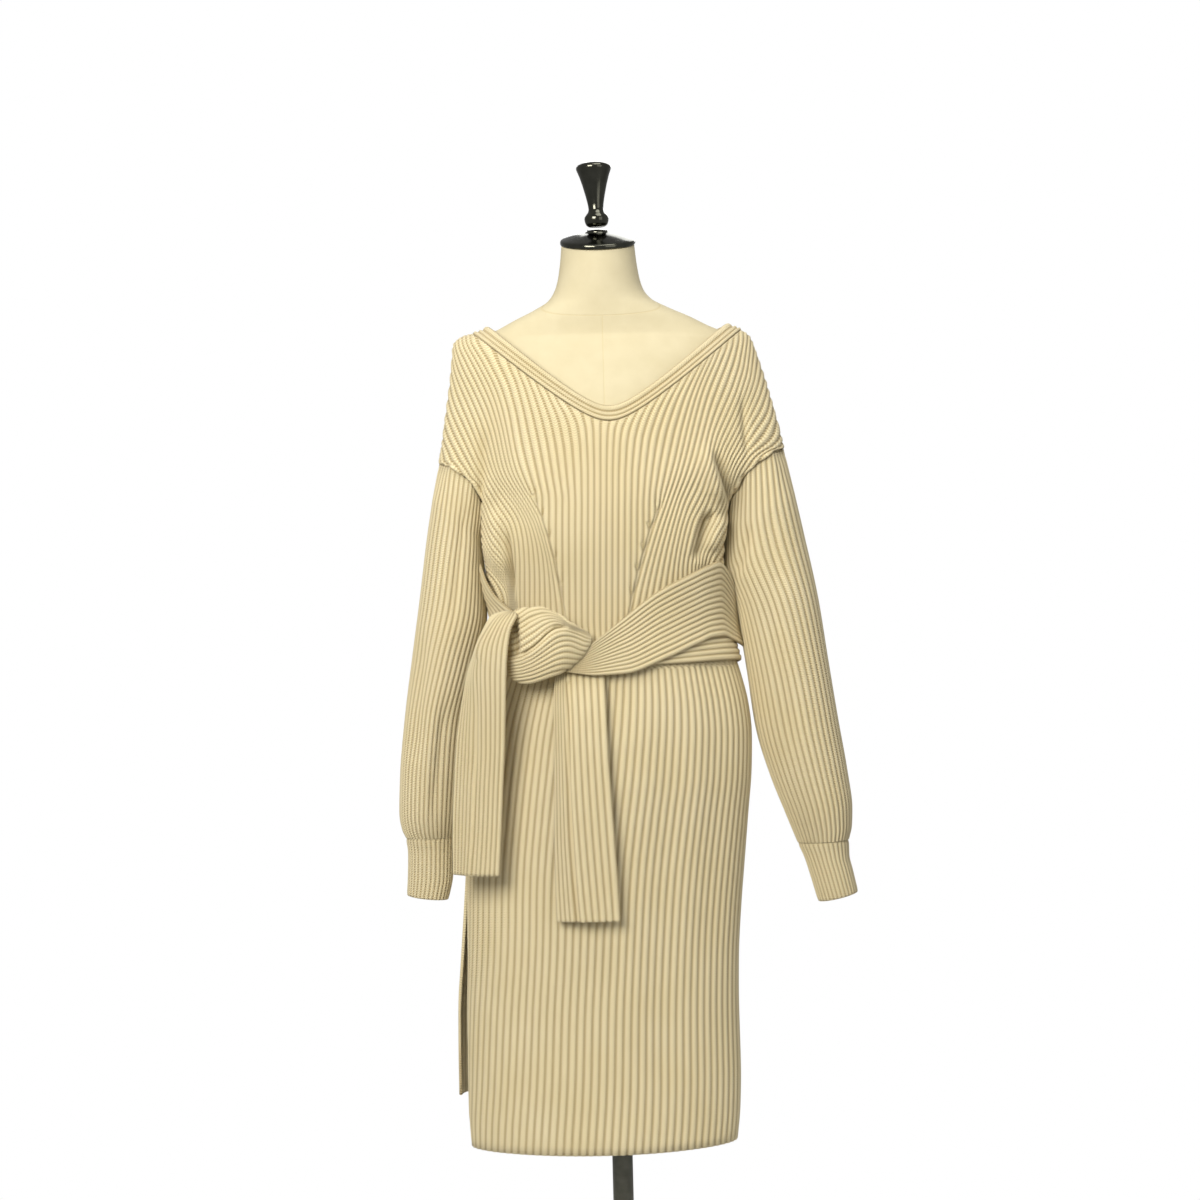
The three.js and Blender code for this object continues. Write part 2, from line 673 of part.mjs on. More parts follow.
/** A point on the dress at an angle round the waist and a height, moved straight out from the cloth. */
function roundTheWaist(degrees, height, out) {
  const at = sectionAtHeight(height);
  const left = along(SECTIONS, 'leftX', at);
  const right = along(SECTIONS, 'rightX', at);
  const square = along(SECTIONS, 'square', at);
  const onCloth = (angle) => {
    const name = Math.cos(angle) > 0 ? 'front' : 'back';
    const depth = along(SECTIONS, `${name}Depth`, at);
    const flank = depth * along(SECTIONS, `${name}Flank`, at);
    const swell = swelling(Math.sin(angle), square);
    const forward = flank * swell.flank + (depth - flank) * swell.middle;
    const x = (left + right) / 2 + ((right - left) / 2) * Math.sin(angle);
    return new THREE.Vector3(x, -Math.sign(Math.cos(angle)) * forward, height);
  };
  const angle = (degrees * Math.PI) / 180;
  const aside = onCloth(angle + NORMAL_STEP).sub(onCloth(angle - NORMAL_STEP));
  return onCloth(angle).addScaledVector(new THREE.Vector3(aside.y, -aside.x, 0).normalize(), out);
}

/** A strip of the tie along its stations: a rib wall between two edges, ribs running lengthwise. */
function strip(name, stations, across, thickness) {
  const columns = TIE_RIBS * 2;
  const grid = stations.map((station) => places(0, 1, columns + 1).map((share) => across(station, share)));
  const last = grid.length - 1;
  const normals = grid.map((row, k) => row.map((point, i) => {
    const aside = row[Math.min(i + 1, columns)].clone().sub(row[Math.max(i - 1, 0)]);
    const down = grid[Math.min(k + 1, last)][i].clone().sub(grid[Math.max(k - 1, 0)][i]);
    return aside.cross(down).normalize();
  }));
  const outer = grid.map((row, k) => row.map((point, i) => (
    point.clone().addScaledVector(normals[k][i], thickness + (i % 2 ? TIE_RIB_HEIGHT : 0))
  )));
  const inner = grid.map((row) => row.filter((_, i) => i % 2 === 0).map((point) => point.clone()));
  return knit(name, wallGeometry(outer, inner, false));
}

/** Stations of a stretch of the tie, taken evenly along its table. */
function stations(rows, count) {
  const names = Object.keys(rows[0]);
  return places(0, rows.length - 1, count).map((at) => (
    Object.fromEntries(names.map((name) => [name, along(rows, name, at)]))
  ));
}

function waistStretch(name, rows, count) {
  const across = (station, share) => (
    roundTheWaist(station.angle, station.top + (station.bottom - station.top) * share, station.out + RIB_HEIGHT)
  );
  return strip(name, stations(rows, count), across, TIE_WALL);
}

/** A hanging end: two flat halves that meet in a rounded fold line. */
function tail(name, rows, count) {
  const across = (station, share) => {
    const back = new THREE.Vector2(station.backX, station.backY);
    const fold = new THREE.Vector2(station.foldX, station.foldY);
    const free = new THREE.Vector2(station.freeX, station.freeY);
    const curve = new THREE.QuadraticBezierCurve(back, fold, free);
    const corner = share < 0.5 ? back.clone().lerp(fold, share * 2) : fold.clone().lerp(free, share * 2 - 1);
    const place = corner.lerp(curve.getPoint(share), FOLD_ROUNDING);
    return new THREE.Vector3(place.x, place.y, station.height);
  };
  return strip(name, stations(rows, count), across, TIE_WALL);
}

/** The knot: a twisted roll with two lobes and ribs that run round with the twist. */
function knot() {
  const rings = stations(KNOT, KNOT_STATIONS).map((row) => places(0, KNOT_SIDES - 1, KNOT_SIDES).map((i) => {
    const angle = (2 * Math.PI * i) / KNOT_SIDES;
    const turn = (row.turn * Math.PI) / 180;
    const lobe = KNOT_LOBE * Math.cos(2 * (angle - turn));
    const rib = KNOT_RIB_HEIGHT * Math.cos(KNOT_RIBS * (angle - turn));
    const radius = 1 - KNOT_LOBE + lobe + rib;
    return new THREE.Vector3(
      row.x,
      (row.back + row.front) / 2 + ((row.back - row.front) / 2) * radius * Math.cos(angle),
      (row.top + row.bottom) / 2 + ((row.top - row.bottom) / 2) * radius * Math.sin(angle),
    );
  }));
  return knit('sash_knot', solidGeometry(rings));
}

/** The form: body, shoulders and neck in one smooth solid. */
function formTorso() {
  const rings = FORM.map((row) => places(0, FORM_SIDES - 1, FORM_SIDES).map((i) => {
    const angle = (2 * Math.PI * i) / FORM_SIDES;
    const depth = Math.sin(angle) > 0 ? row.back : row.front;
    const y = depth * Math.sin(angle);
    const shift = NECK_SHIFT * ramp(NECK_FROM, NECK_TO, row.height);
    return new THREE.Vector3(shift + row.half * Math.cos(angle), y, row.height + row.tilt * y);
  }));
  return piece('form_torso', solidGeometry(rings), LINEN, 0.9, 0);
}

/** A turned piece from a profile of radius and height pairs. */
function turned(name, profile, sides, color, roughness, metalness) {
  const points = profile.map(([radius, height]) => new THREE.Vector2(radius, height));
  const geometry = new THREE.LatheGeometry(points, sides);
  geometry.rotateX(Math.PI / 2);
  return piece(name, geometry, color, roughness, metalness);
}

function neckCap() {
  const profile = [
    [0, 0], [CAP_RADIUS, 0], [CAP_RADIUS + 0.6, 2], [CAP_RADIUS, 6.5], [47, 9], [34, 13.5], [20, 17], [15, 18],
    [14, 21], [0, 21],
  ];
  const cap = turned('neck_cap', profile, 28, DARK_CHROME, 0.2, 1);
  cap.rotation.x = Math.atan(CAP_TILT);
  cap.position.set(NECK_SHIFT, 0, CAP_HEIGHT);
  return cap;
}

function finial() {
  const profile = [
    [0, 0], [12, 0], [15, 3], [16.5, 7], [17, 12], [14, 17], [10.5, 22], [11, 30], [13.5, 43], [17, 58], [20.5, 70],
    [23.5, 78], [24.5, 81], [24, 84], [18, 88], [9, 90.5], [0, 91],
  ];
  const knob = turned('finial', profile, 20, DARK_CHROME, 0.2, 1);
  knob.rotation.y = FINIAL_LEAN;
  knob.position.set(...FINIAL_PLACE);
  return knob;
}

function pole() {
  const foot = BASE_HEIGHT + POLE_LIFT;
  const profile = [[0, foot], [POLE_RADIUS, foot], [POLE_RADIUS, POLE_TOP], [0, POLE_TOP]];
  return turned('pole', profile, 20, GREY_STEEL, 0.35, 1);
}

function base() {
  const profile = [
    [0, 0], [BASE_RADIUS - BASE_EDGE / 2, 0], [BASE_RADIUS, BASE_EDGE / 2], [BASE_RADIUS, BASE_HEIGHT - BASE_EDGE],
    [BASE_RADIUS - BASE_EDGE, BASE_HEIGHT], [0, BASE_HEIGHT],
  ];
  return turned('base', profile, 40, GREY_STEEL, 0.4, 1);
}

const group = new THREE.Group();
group.add(
  dressFront(),
  dressBack(),
  neckband(),
  sleeve('left'),
  sleeve('right'),
  cuff('left'),
  cuff('right'),
  waistStretch('sash_upper', TIE_UPPER, 15),
  waistStretch('sash_back', TIE_BACK, 13),
  waistStretch('sash_left', TIE_LEFT, 6),
  waistStretch('sash_lower', TIE_LOWER, 19),
  knot(),
  tail('sash_tail_left', TAIL_LEFT, 14),
  tail('sash_tail_centre', TAIL_CENTRE, 9),
  formTorso(),
  neckCap(),
  finial(),
  pole(),
  base(),
);

export default group;
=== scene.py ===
"""A rib-knit wool sweater dress with a knotted tie, on a limbless dress form with a turned cap, a pole and a base."""

import logging
import math
from dataclasses import dataclass, field
from enum import Enum
from typing import Callable, Sequence

import bpy
import numpy as np
from mathutils import Matrix


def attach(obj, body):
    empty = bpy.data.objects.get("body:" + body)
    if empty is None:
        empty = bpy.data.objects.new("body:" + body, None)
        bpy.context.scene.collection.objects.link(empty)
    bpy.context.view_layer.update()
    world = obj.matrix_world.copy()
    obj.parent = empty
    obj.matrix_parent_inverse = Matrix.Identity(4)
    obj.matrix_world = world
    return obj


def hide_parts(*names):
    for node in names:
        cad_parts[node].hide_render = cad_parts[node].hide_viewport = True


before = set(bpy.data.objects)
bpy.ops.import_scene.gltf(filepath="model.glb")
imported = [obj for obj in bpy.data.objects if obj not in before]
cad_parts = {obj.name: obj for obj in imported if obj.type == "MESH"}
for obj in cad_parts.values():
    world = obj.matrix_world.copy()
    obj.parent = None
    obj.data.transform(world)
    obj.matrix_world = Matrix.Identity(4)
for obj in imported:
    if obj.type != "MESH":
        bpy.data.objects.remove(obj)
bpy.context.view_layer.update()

logging.basicConfig(level=logging.INFO, format="%(message)s")
LOG = logging.getLogger("dress")

Array = np.ndarray

# Sizes are in millimetres, as on the pattern sheet, and become metres when a mesh is made.
MM = 0.001
WALL = 2.6
RIB_HEIGHT = 1.9
SEAM_GAP = 0.3
STITCH_ROW = 3.4
BODY = "root"


class Facing(Enum):
    """Which side of the dress a panel is on. The value is the sign of its Y."""

    FRONT = -1
    BACK = 1


class Side(Enum):
    """The viewer's left or right."""

    LEFT = "left"
    RIGHT = "right"


def ramp(start: float, end: float, value: Array | float) -> Array:
    """A soft step from 0 to 1.

    Args:
        start: Where the step begins.
        end: Where it ends.
        value: The places to read it at.

    Returns:
        The step at each place.
    """
    t = np.clip((np.asarray(value, float) - start) / (end - start), 0.0, 1.0)
    return t * t * (3 - 2 * t)


class Table:
    """Rows of sizes under named columns, read on a smooth curve that never overshoots."""

    def __init__(self, columns: str, rows: Sequence[Sequence[float]]) -> None:
        """Keeps the rows by column name."""
        self.names = columns.split()
        self.rows = np.array(rows, float)
        self.last = len(rows) - 1

    def along(self, name: str, at: Array | float) -> Array:
        """A column between its rows.

        Args:
            name: The column.
            at: Places along the rows, 0 for the first.

        Returns:
            The column's value at each place.
        """
        column = self.rows[:, self.names.index(name)]
        rise = np.diff(column)
        slope = np.empty_like(column)
        slope[0], slope[-1] = rise[0], rise[-1]
        before, after = rise[:-1], rise[1:]
        same = before * after > 0
        safe = np.where(same, before + after, 1.0)
        slope[1:-1] = np.where(same, 2 * before * after / safe, 0.0)
        place = np.clip(np.asarray(at, float), 0, self.last)
        i = np.minimum(place.astype(int), self.last - 1)
        t = place - i
        square, cube = t * t, t * t * t
        start = column[i] * (2 * cube - 3 * square + 1) + slope[i] * (cube - 2 * square + t)
        return start + column[i + 1] * (3 * square - 2 * cube) + slope[i + 1] * (cube - square)

    def read(self, at: Array) -> dict[str, Array]:
        """Every column at the same places."""
        return {name: self.along(name, at) for name in self.names}


SECTIONS = Table(
    "leftX leftZ rightX rightZ frontZ frontDepth frontFlank backZ backDepth backFlank square slit",
    [
        [-158.5, 1374.5, 172, 1370.5, 1254, 101, 0.92, 1334, 78, 0.95, 2.0, 0],
        [-172, 1369, 187, 1366, 1241, 104, 0.88, 1320, 83, 0.92, 2.05, 0],
        [-188, 1365, 198, 1360, 1228, 107, 0.76, 1304, 88, 0.84, 2.2, 0],
        [-201, 1359, 206, 1351, 1215, 110, 0.63, 1287, 92, 0.74, 2.5, 0],
        [-208.5, 1350, 210, 1340, 1202, 112, 0.53, 1268, 95, 0.66, 2.8, 0],
        [-210.5, 1330, 216, 1322, 1188, 114, 0.47, 1248, 98, 0.6, 3, 0],
        [-214, 1300, 226, 1290, 1174, 116, 0.44, 1226, 100, 0.55, 3, 0],
        [-221, 1255, 236, 1252, 1160, 118, 0.42, 1202, 102, 0.52, 3.1, 0],
        [-228, 1210, 245, 1216, 1146, 120, 0.42, 1178, 103, 0.5, 3.0, 0],
        [-232, 1187, 249, 1196, 1136, 121, 0.42, 1162, 104, 0.49, 3.0, 0],
        [-215, 1180, 232, 1189, 1128, 121.5, 0.45, 1148, 104, 0.52, 3, 0],
        [-185, 1157, 200, 1166, 1120, 122, 0.5, 1133, 104, 0.57, 3.2, 0],
        [-169, 1123, 172, 1128, 1110, 122, 0.62, 1116, 104, 0.66, 3.6, 0],
        [-166, 1105, 166, 1108, 1099, 121.5, 0.72, 1099, 103.5, 0.76, 4, 0],
        [-170, 1080, 163, 1080, 1080, 120.5, 0.74, 1080, 103, 0.78, 4, 0],
        [-171, 1055, 161, 1055, 1055, 117, 0.75, 1055, 101, 0.79, 3.6, 0],
        [-170, 1030, 160, 1030, 1030, 112, 0.76, 1030, 98, 0.8, 3.1, 0],
        [-167, 1005, 160, 1005, 1005, 106, 0.78, 1005, 95, 0.82, 2.7, 0],
        [-160, 980, 160, 980, 980, 101, 0.8, 980, 93, 0.83, 2.4, 0],
        [-157, 950, 162, 950, 950, 99, 0.82, 950, 93, 0.84, 2.2, 0],
        [-167, 915, 171, 915, 915, 101, 0.82, 915, 104, 0.84, 2.2, 0],
        [-178, 880, 181, 880, 880, 107, 0.82, 880, 115, 0.84, 2.2, 0],
        [-189, 840, 190, 840, 840, 115, 0.82, 840, 122, 0.84, 2.2, 0],
        [-195, 800, 193.5, 800, 800, 119, 0.82, 800, 124, 0.84, 2.2, 0],
        [-199, 750, 192, 750, 750, 119, 0.82, 750, 124, 0.84, 2.2, 0],
        [-203, 690, 186, 690, 690, 114, 0.82, 690, 118, 0.84, 2.2, 0],
        [-207, 620, 179, 620, 620, 107, 0.82, 620, 110, 0.84, 2.2, 1],
        [-207, 560, 173, 560, 560, 103, 0.82, 560, 105, 0.84, 2.2, 5],
        [-208, 490, 168, 490, 490, 100, 0.82, 490, 102, 0.84, 2.2, 10],
        [-210, 420, 166.5, 420, 420, 98, 0.82, 420, 99, 0.84, 2.2, 14],
        [-211, 340, 167, 340, 340, 97, 0.82, 340, 97, 0.84, 2.2, 14],
        [-211, 280, 165, 280, 280, 97, 0.82, 280, 96, 0.84, 2.2, 14],
        [-208, 234, 160, 234, 234, 97, 0.82, 234, 95, 0.84, 2.2, 14],
    ],
)
BAND_EDGE = 1.6
ARM_TOP = 9
ARMPIT = 13
ARMHOLE_STATIONS = ARMPIT - ARM_TOP
ARMPIT_EASE = 2.6
LEVEL_FROM = 14
SLIT_TOP = 26
SLIT_OVERLAP = 9
HEM = SECTIONS.last
BACK_HEM_HEIGHT = 302

# Soft troughs beside each arm and down the skirt, as shares of the panel: side, across, width, depth, from, to.
TROUGHS = [
    (-1, 0.85, 0.055, 9, 13.2, 17.8),
    (1, 0.85, 0.055, 8, 13.0, 17.0),
    (-1, 0.6, 0.12, 4, 20, 31),
    (1, 0.42, 0.14, 4, 21, 31.5),
    (1, 0.75, 0.1, 3, 19, 29),
]


@dataclass(frozen=True)
class Armhole:
    """An armhole: the outer point on the arm, the armpit, the half depth, and how far its front stands inward."""

    outer: tuple[float, float]
    armpit: tuple[float, float]
    depth: float
    inward: tuple[float, float]

    def point(self, turn: Array, facing: Array) -> Array:
        """A point on the hole's curve.

        Args:
            turn: 0 at the outer point and 1 at the armpit.
            facing: -1 by way of the front and 1 by way of the back.

        Returns:
            Points as (..., 3).
        """
        angle = np.asarray(turn, float) * math.pi
        reach, swing = np.cos(angle) / 2, np.sin(angle)
        x = (self.outer[0] + self.armpit[0]) / 2 + (self.outer[0] - self.armpit[0]) * reach
        z = (self.outer[1] + self.armpit[1]) / 2 + (self.outer[1] - self.armpit[1]) * reach
        inward = swing * swing
        return np.stack([x + self.inward[0] * inward, facing * self.depth * swing, z + self.inward[1] * inward], -1)

    def seam(self, turn: Array, facing: Array) -> Array:
        """The seam, straight between its stations, as point() takes it."""
        place = np.clip(turn, 0, 1) * ARMHOLE_STATIONS
        station = np.minimum(place.astype(int), ARMHOLE_STATIONS - 1)
        start = self.point(station / ARMHOLE_STATIONS, facing)
        end = self.point((station + 1) / ARMHOLE_STATIONS, facing)
        return start + (end - start) * (place - station)[..., None]

    def inside(self, points: Array) -> Array:
        """Points moved a wall's thickness towards the middle of the hole."""
        middle = np.array([(self.outer[0] + self.armpit[0]) / 2, 0, (self.outer[1] + self.armpit[1]) / 2])
        towards = middle - points
        return points + WALL * towards / np.linalg.norm(towards, axis=-1, keepdims=True)


ARMHOLES = {
    Side.LEFT: Armhole((-232, 1187), (-166, 1105), 50, (14, 11)),
    Side.RIGHT: Armhole((249, 1196), (166, 1108), 50, (-12, 12)),
}


def unit(vectors: Array) -> Array:
    """The same directions with length 1."""
    return vectors / np.maximum(np.linalg.norm(vectors, axis=-1, keepdims=True), 1e-9)


def surface_normals(points: Array, closed: bool, outward: Callable[[Array], Array]) -> Array:
    """Normals of a grid of points.

    Args:
        points: The grid as (rows, columns, 3).
        closed: True if the last column meets the first.
        outward: Gives a rough outward direction for the grid.

    Returns:
        Unit normals as (rows, columns, 3).
    """
    if closed:
        aside = np.roll(points, -1, 1) - np.roll(points, 1, 1)
    else:
        aside = np.gradient(points, axis=1)
    normal = unit(np.cross(np.gradient(points, axis=0), aside))
    if np.sum(normal * outward(points)) < 0:
        normal = -normal
    return normal


Line = tuple[tuple[float, float], ...]


@dataclass(frozen=True)
class FrontView:
    """The view in which ribs and folds are read: steps of 1.354 mm on the bust, from 3.4 m, leaning a little.
    A reading is steps across, 600 near the middle of the dress, and steps down, 600 at the waist."""

    step: float = 1.354
    eye: float = 3400.0
    bust: float = 110.0
    middle: tuple[float, float] = (-12.5, 990.0)
    lean: float = math.radians(1.4)
    centre: float = 600.0

    def readings(self, points: Array) -> tuple[Array, Array]:
        """The reading of each point.

        Args:
            points: Places in millimetres.

        Returns:
            Steps across and steps down.
        """
        scale = (self.eye - self.bust) / (self.eye - np.abs(points[..., 1])) / self.step
        x, z = (points[..., 0] - self.middle[0]) * scale, (points[..., 2] - self.middle[1]) * scale
        turn, rise = math.cos(self.lean), math.sin(self.lean)
        return self.centre + x * turn - z * rise, self.centre - x * rise - z * turn


VIEW = FrontView()


@dataclass(frozen=True)
class Fold:
    """A fold given as a line of readings: a trough if its depth is above 0, and else a ridge.
    Its widths to the left and to the right of the line are in the view's steps."""

    line: Line
    depth: float
    left: float
    right: float
    fade: float = 0.3

    def push(self, points: Array) -> Array:
        """How far the cloth goes in.

        Args:
            points: Places on the cloth.

        Returns:
            Millimetres inward at each place.
        """
        across, down = VIEW.readings(points)
        line = np.array(self.line, float)
        steps = np.linalg.norm(np.diff(line, axis=0), axis=1)
        best = np.full(across.shape, np.inf)
        best_along = np.zeros(across.shape)
        best_side = np.ones(across.shape)
        done = 0.0
        for start, end, length in zip(line[:-1], line[1:], steps):
            way = (end - start) / length
            from_start = np.stack([across - start[0], down - start[1]], -1)
            along = np.clip(from_start @ way, 0, length)
            distance = np.linalg.norm(from_start - along[..., None] * way, axis=-1)
            closer = distance < best
            best = np.where(closer, distance, best)
            best_along = np.where(closer, done + along, best_along)
            best_side = np.where(closer, from_start[..., 0] * way[1] - from_start[..., 1] * way[0], best_side)
            done += length
        width = np.where(best_side < 0, self.left, self.right)
        share = best_along / steps.sum()
        ends = ramp(0, self.fade, share) * (1 - ramp(1 - self.fade, 1, share))
        return self.depth * ends * np.exp(-((best / width) ** 2))


def ribs(phase: Array) -> Array:
    """The height of the ribs, 0 in a furrow and 1 on a crest, where the phase grows by 1 a rib."""
    return (0.5 - 0.5 * np.cos(2 * np.pi * phase)) ** 0.75


def zipper(outer: Array, inner: Array, flip: bool) -> Array:
    """Triangles between two chains of corners.

    Args:
        outer: Corner numbers of the finer chain.
        inner: Corner numbers of the coarser chain.
        flip: True to turn the faces round.

    Returns:
        Triangles as (n, 3).
    """
    faces = []
    i = k = 0
    n, m = len(outer) - 1, len(inner) - 1
    while i < n or k < m:
        if i < n and (k == m or (i + 0.5) * m <= (k + 1) * n):
            faces.append((outer[i], outer[i + 1], inner[k]))
            i += 1
        else:
            faces.append((inner[k + 1], inner[k], outer[i]))
            k += 1
    triangles = np.array(faces)
    return triangles[:, [1, 0, 2]] if flip else triangles


def quads(corners: Array) -> Array:
    """The four-sided faces of a grid of corner numbers."""
    return np.stack([corners[:-1, :-1], corners[1:, :-1], corners[1:, 1:], corners[:-1, 1:]], -1).reshape(-1, 4)


def mesh_object(name: str, points: Array, faces: Sequence[Array], uv: Array, vertex_of: Array) -> bpy.types.Object:
    """A mesh object from corner numbers, each of which has its own place on the pattern.

    Args:
        name: The piece's name.
        points: Vertices in millimetres.
        faces: Arrays of three- and four-sided faces, as corner numbers.
        uv: The pattern place of each corner number.
        vertex_of: The vertex of each corner number.

    Returns:
        The new object, smooth, with its faces pointing outwards.
    """
    solid = 0.0
    for block in faces:
        p = points[vertex_of[block]]
        for j in range(1, p.shape[1] - 1):
            solid += float(np.sum(p[:, 0] * np.cross(p[:, j], p[:, j + 1])))
    if solid < 0:
        faces = [block[:, ::-1] for block in faces]
    loops = np.concatenate([block.ravel() for block in faces])
    totals = np.concatenate([np.full(len(block), block.shape[1]) for block in faces])
    mesh = bpy.data.meshes.new(name)
    mesh.vertices.add(len(points))
    mesh.vertices.foreach_set("co", (points * MM).astype(np.float32).ravel())
    mesh.loops.add(len(loops))
    mesh.loops.foreach_set("vertex_index", vertex_of[loops].astype(np.int32))
    mesh.polygons.add(len(totals))
    mesh.polygons.foreach_set("loop_start", np.concatenate([[0], np.cumsum(totals)[:-1]]).astype(np.int32))
    layer = mesh.uv_layers.new(name="pattern")
    layer.data.foreach_set("uv", uv[loops].astype(np.float32).ravel())
    mesh.update(calc_edges=True)
    mesh.validate()
    mesh.shade_smooth()
    piece = bpy.data.objects.new(name, mesh)
    bpy.context.scene.collection.objects.link(piece)
    return piece


@dataclass
class Wall:
    """A wall of cloth: a fine ribbed outer grid over a coarser plain inner one."""

    outer: Array
    inner: Array
    outer_uv: Array
    inner_uv: Array
    closed: bool

    def numbers(self, grid: Array, first_corner: int, first_vertex: int) -> tuple[Array, Array]:
        """Corner numbers of a grid, and the vertex of each corner.

        Args:
            grid: The grid's points.
            first_corner: The first corner number.
            first_vertex: The first vertex number.

        Returns:
            Corner numbers as (rows, columns) and vertices in the same order.
        """
        rows, columns = grid.shape[:2]
        wide = columns + 1 if self.closed else columns
        corners = first_corner + np.arange(rows * wide).reshape(rows, wide)
        row, column = np.divmod(np.arange(rows * wide), wide)
        return corners, first_vertex + row * columns + column % columns

    def build(self, name: str) -> bpy.types.Object:
        """The wall as a closed mesh.

        Args:
            name: The piece's name.

        Returns:
            The new object.
        """
        outer, outer_vertices = self.numbers(self.outer, 0, 0)
        inner, inner_vertices = self.numbers(self.inner, outer.size, self.outer.shape[0] * self.outer.shape[1])
        triangles = [zipper(outer[0], inner[0], False), zipper(outer[-1], inner[-1], True)]
        if not self.closed:
            triangles += [zipper(outer[:, 0], inner[:, 0], True), zipper(outer[:, -1], inner[:, -1], False)]
        points = np.concatenate([self.outer.reshape(-1, 3), self.inner.reshape(-1, 3)])
        uv = np.concatenate([self.outer_uv.reshape(-1, 2), self.inner_uv.reshape(-1, 2)])
        faces = [np.concatenate([quads(outer), quads(inner)[:, ::-1]]), np.concatenate(triangles)]
        return mesh_object(name, points, faces, uv, np.concatenate([outer_vertices, inner_vertices]))


def coarse(count: int, step: int) -> Array:
    """Every so many of a number of rows or columns, with the last one kept."""
    kept = np.arange(0, count, step)
    return kept if kept[-1] == count - 1 else np.append(kept, count - 1)


def cloth_wall(plain: Array, normal: Array, raise_by: Array, uv: Array, closed: bool, thick: float = WALL) -> Wall:
    """A wall of cloth on a plain surface.

    Args:
        plain: The surface in the furrows, as (rows, columns, 3).
        normal: Its outward normals.
        raise_by: How far each outer point stands out of the furrows.
        uv: The pattern place of each point, with one more column on a closed wall.
        closed: True for a tube.
        thick: The wall's thickness in the furrows.

    Returns:
        The wall, with an inner side of a quarter of the columns and a third of the rows.
    """
    rows = coarse(plain.shape[0], 3)
    columns = np.arange(0, plain.shape[1], 4) if closed else coarse(plain.shape[1], 4)
    uv_columns = np.append(columns, plain.shape[1]) if closed else columns
    inner = plain[np.ix_(rows, columns)] - normal[np.ix_(rows, columns)] * thick
    return Wall(plain + normal * raise_by[..., None], inner, uv, uv[np.ix_(rows, uv_columns)], closed)


def rows_down(points: Array) -> Array:
    """Stitch rows counted down each column of a grid, in the middle of its columns."""
    steps = np.linalg.norm(np.diff(points, axis=0), axis=-1)
    return np.concatenate([np.zeros((1, points.shape[1])), np.cumsum(steps, axis=0)]) / STITCH_ROW


def line_across(line: Line, down: Array) -> Array:
    """Where a line read from its top lies across, at steps down."""
    return np.interp(down, [place[1] for place in line], [place[0] for place in line])


def softened(values: Array, reach: int = 9) -> Array:
    """A grid of values eased over its neighbours, both ways."""
    kernel = np.exp(-((np.arange(-reach, reach + 1) / (reach / 2)) ** 2))
    kernel /= kernel.sum()
    for axis in (0, 1):
        width = [(reach, reach) if i == axis else (0, 0) for i in (0, 1)]
        padded = np.pad(values, width, mode="reflect", reflect_type="odd")
        count = values.shape[axis]
        values = sum(w * np.take(padded, range(i, i + count), axis) for i, w in enumerate(kernel))
    return values


@dataclass(frozen=True)
class RibChart:
    """Where the ribs run. Each line follows one furrow downwards, by its number from the middle of the dress.
    Below the first marks the upright middle ribs stop one after the other, where the slanting side ribs meet them."""

    lines: tuple[tuple[float, Line], ...]
    left_marks: Line = ()
    right_marks: Line = ()
    side_from: tuple[float, float] = (-11.5, 10.5)
    pitch: float = 6.2

    def numbers(self, across: Array, down: Array, first: float, last: float) -> Array:
        """Rib numbers between the lines whose own number is in a range.

        Args:
            across: Readings across.
            down: Readings down.
            first: The lowest number used.
            last: The highest number used.

        Returns:
            Rib numbers, whole in the furrows.
        """
        used = [(number, line_across(line, down)) for number, line in self.lines if first <= number <= last]
        low, high = used[0], used[-1]
        total = low[0] + np.minimum(across - low[1], 0) / self.pitch + np.maximum(across - high[1], 0) / self.pitch
        for (number, start), (following, end) in zip(used[:-1], used[1:]):
            share = np.clip((across - start) / np.maximum(end - start, 0.2), 0, 1)
            total = total + share * (following - number)
        return softened(total)

    def phase(self, points: Array) -> tuple[Array, Array]:
        """The number of the rib at each place.

        Args:
            points: The panel's surface.

        Returns:
            Rib numbers, whole in the furrows, and the distance from the line of marks in millimetres.
        """
        across, down = VIEW.readings(points)
        phase = self.numbers(across, down, -99, 99)
        away = np.full(phase.shape, 99.0)
        if self.left_marks:
            low, high = line_across(self.left_marks, down), line_across(self.right_marks, down)
            sides = (
                (self.left_marks, low, across < low, (-99, self.side_from[0])),
                (self.right_marks, high, across > high, (self.side_from[1], 99)),
            )
            middle = self.numbers(across, down, *self.side_from)
            for marks, line, outside, numbers in sides:
                below = down > marks[0][1]
                phase = np.where(below & outside, self.numbers(across, down, *numbers), phase)
                away = np.where(below, np.minimum(away, np.abs(across - line) * VIEW.step), away)
            inside = (across >= low) & (across <= high)
            below = np.where(across < VIEW.centre, down > self.left_marks[0][1], down > self.right_marks[0][1])
            phase = np.where(inside & below, middle, phase)
        return phase, away

    def loops(self) -> tuple[Fold, ...]:
        """A small loop-shaped dimple at each fashioning mark."""
        return tuple(
            Fold(((x - 3.2, y - 8), (x - 2, y - 1), (x, y + 1), (x + 2, y - 1), (x + 3.2, y - 8)), 3.4, 1.3, 1.3, 0.02)
            for x, y in self.left_marks[:-1] + self.right_marks[:-1]
        )


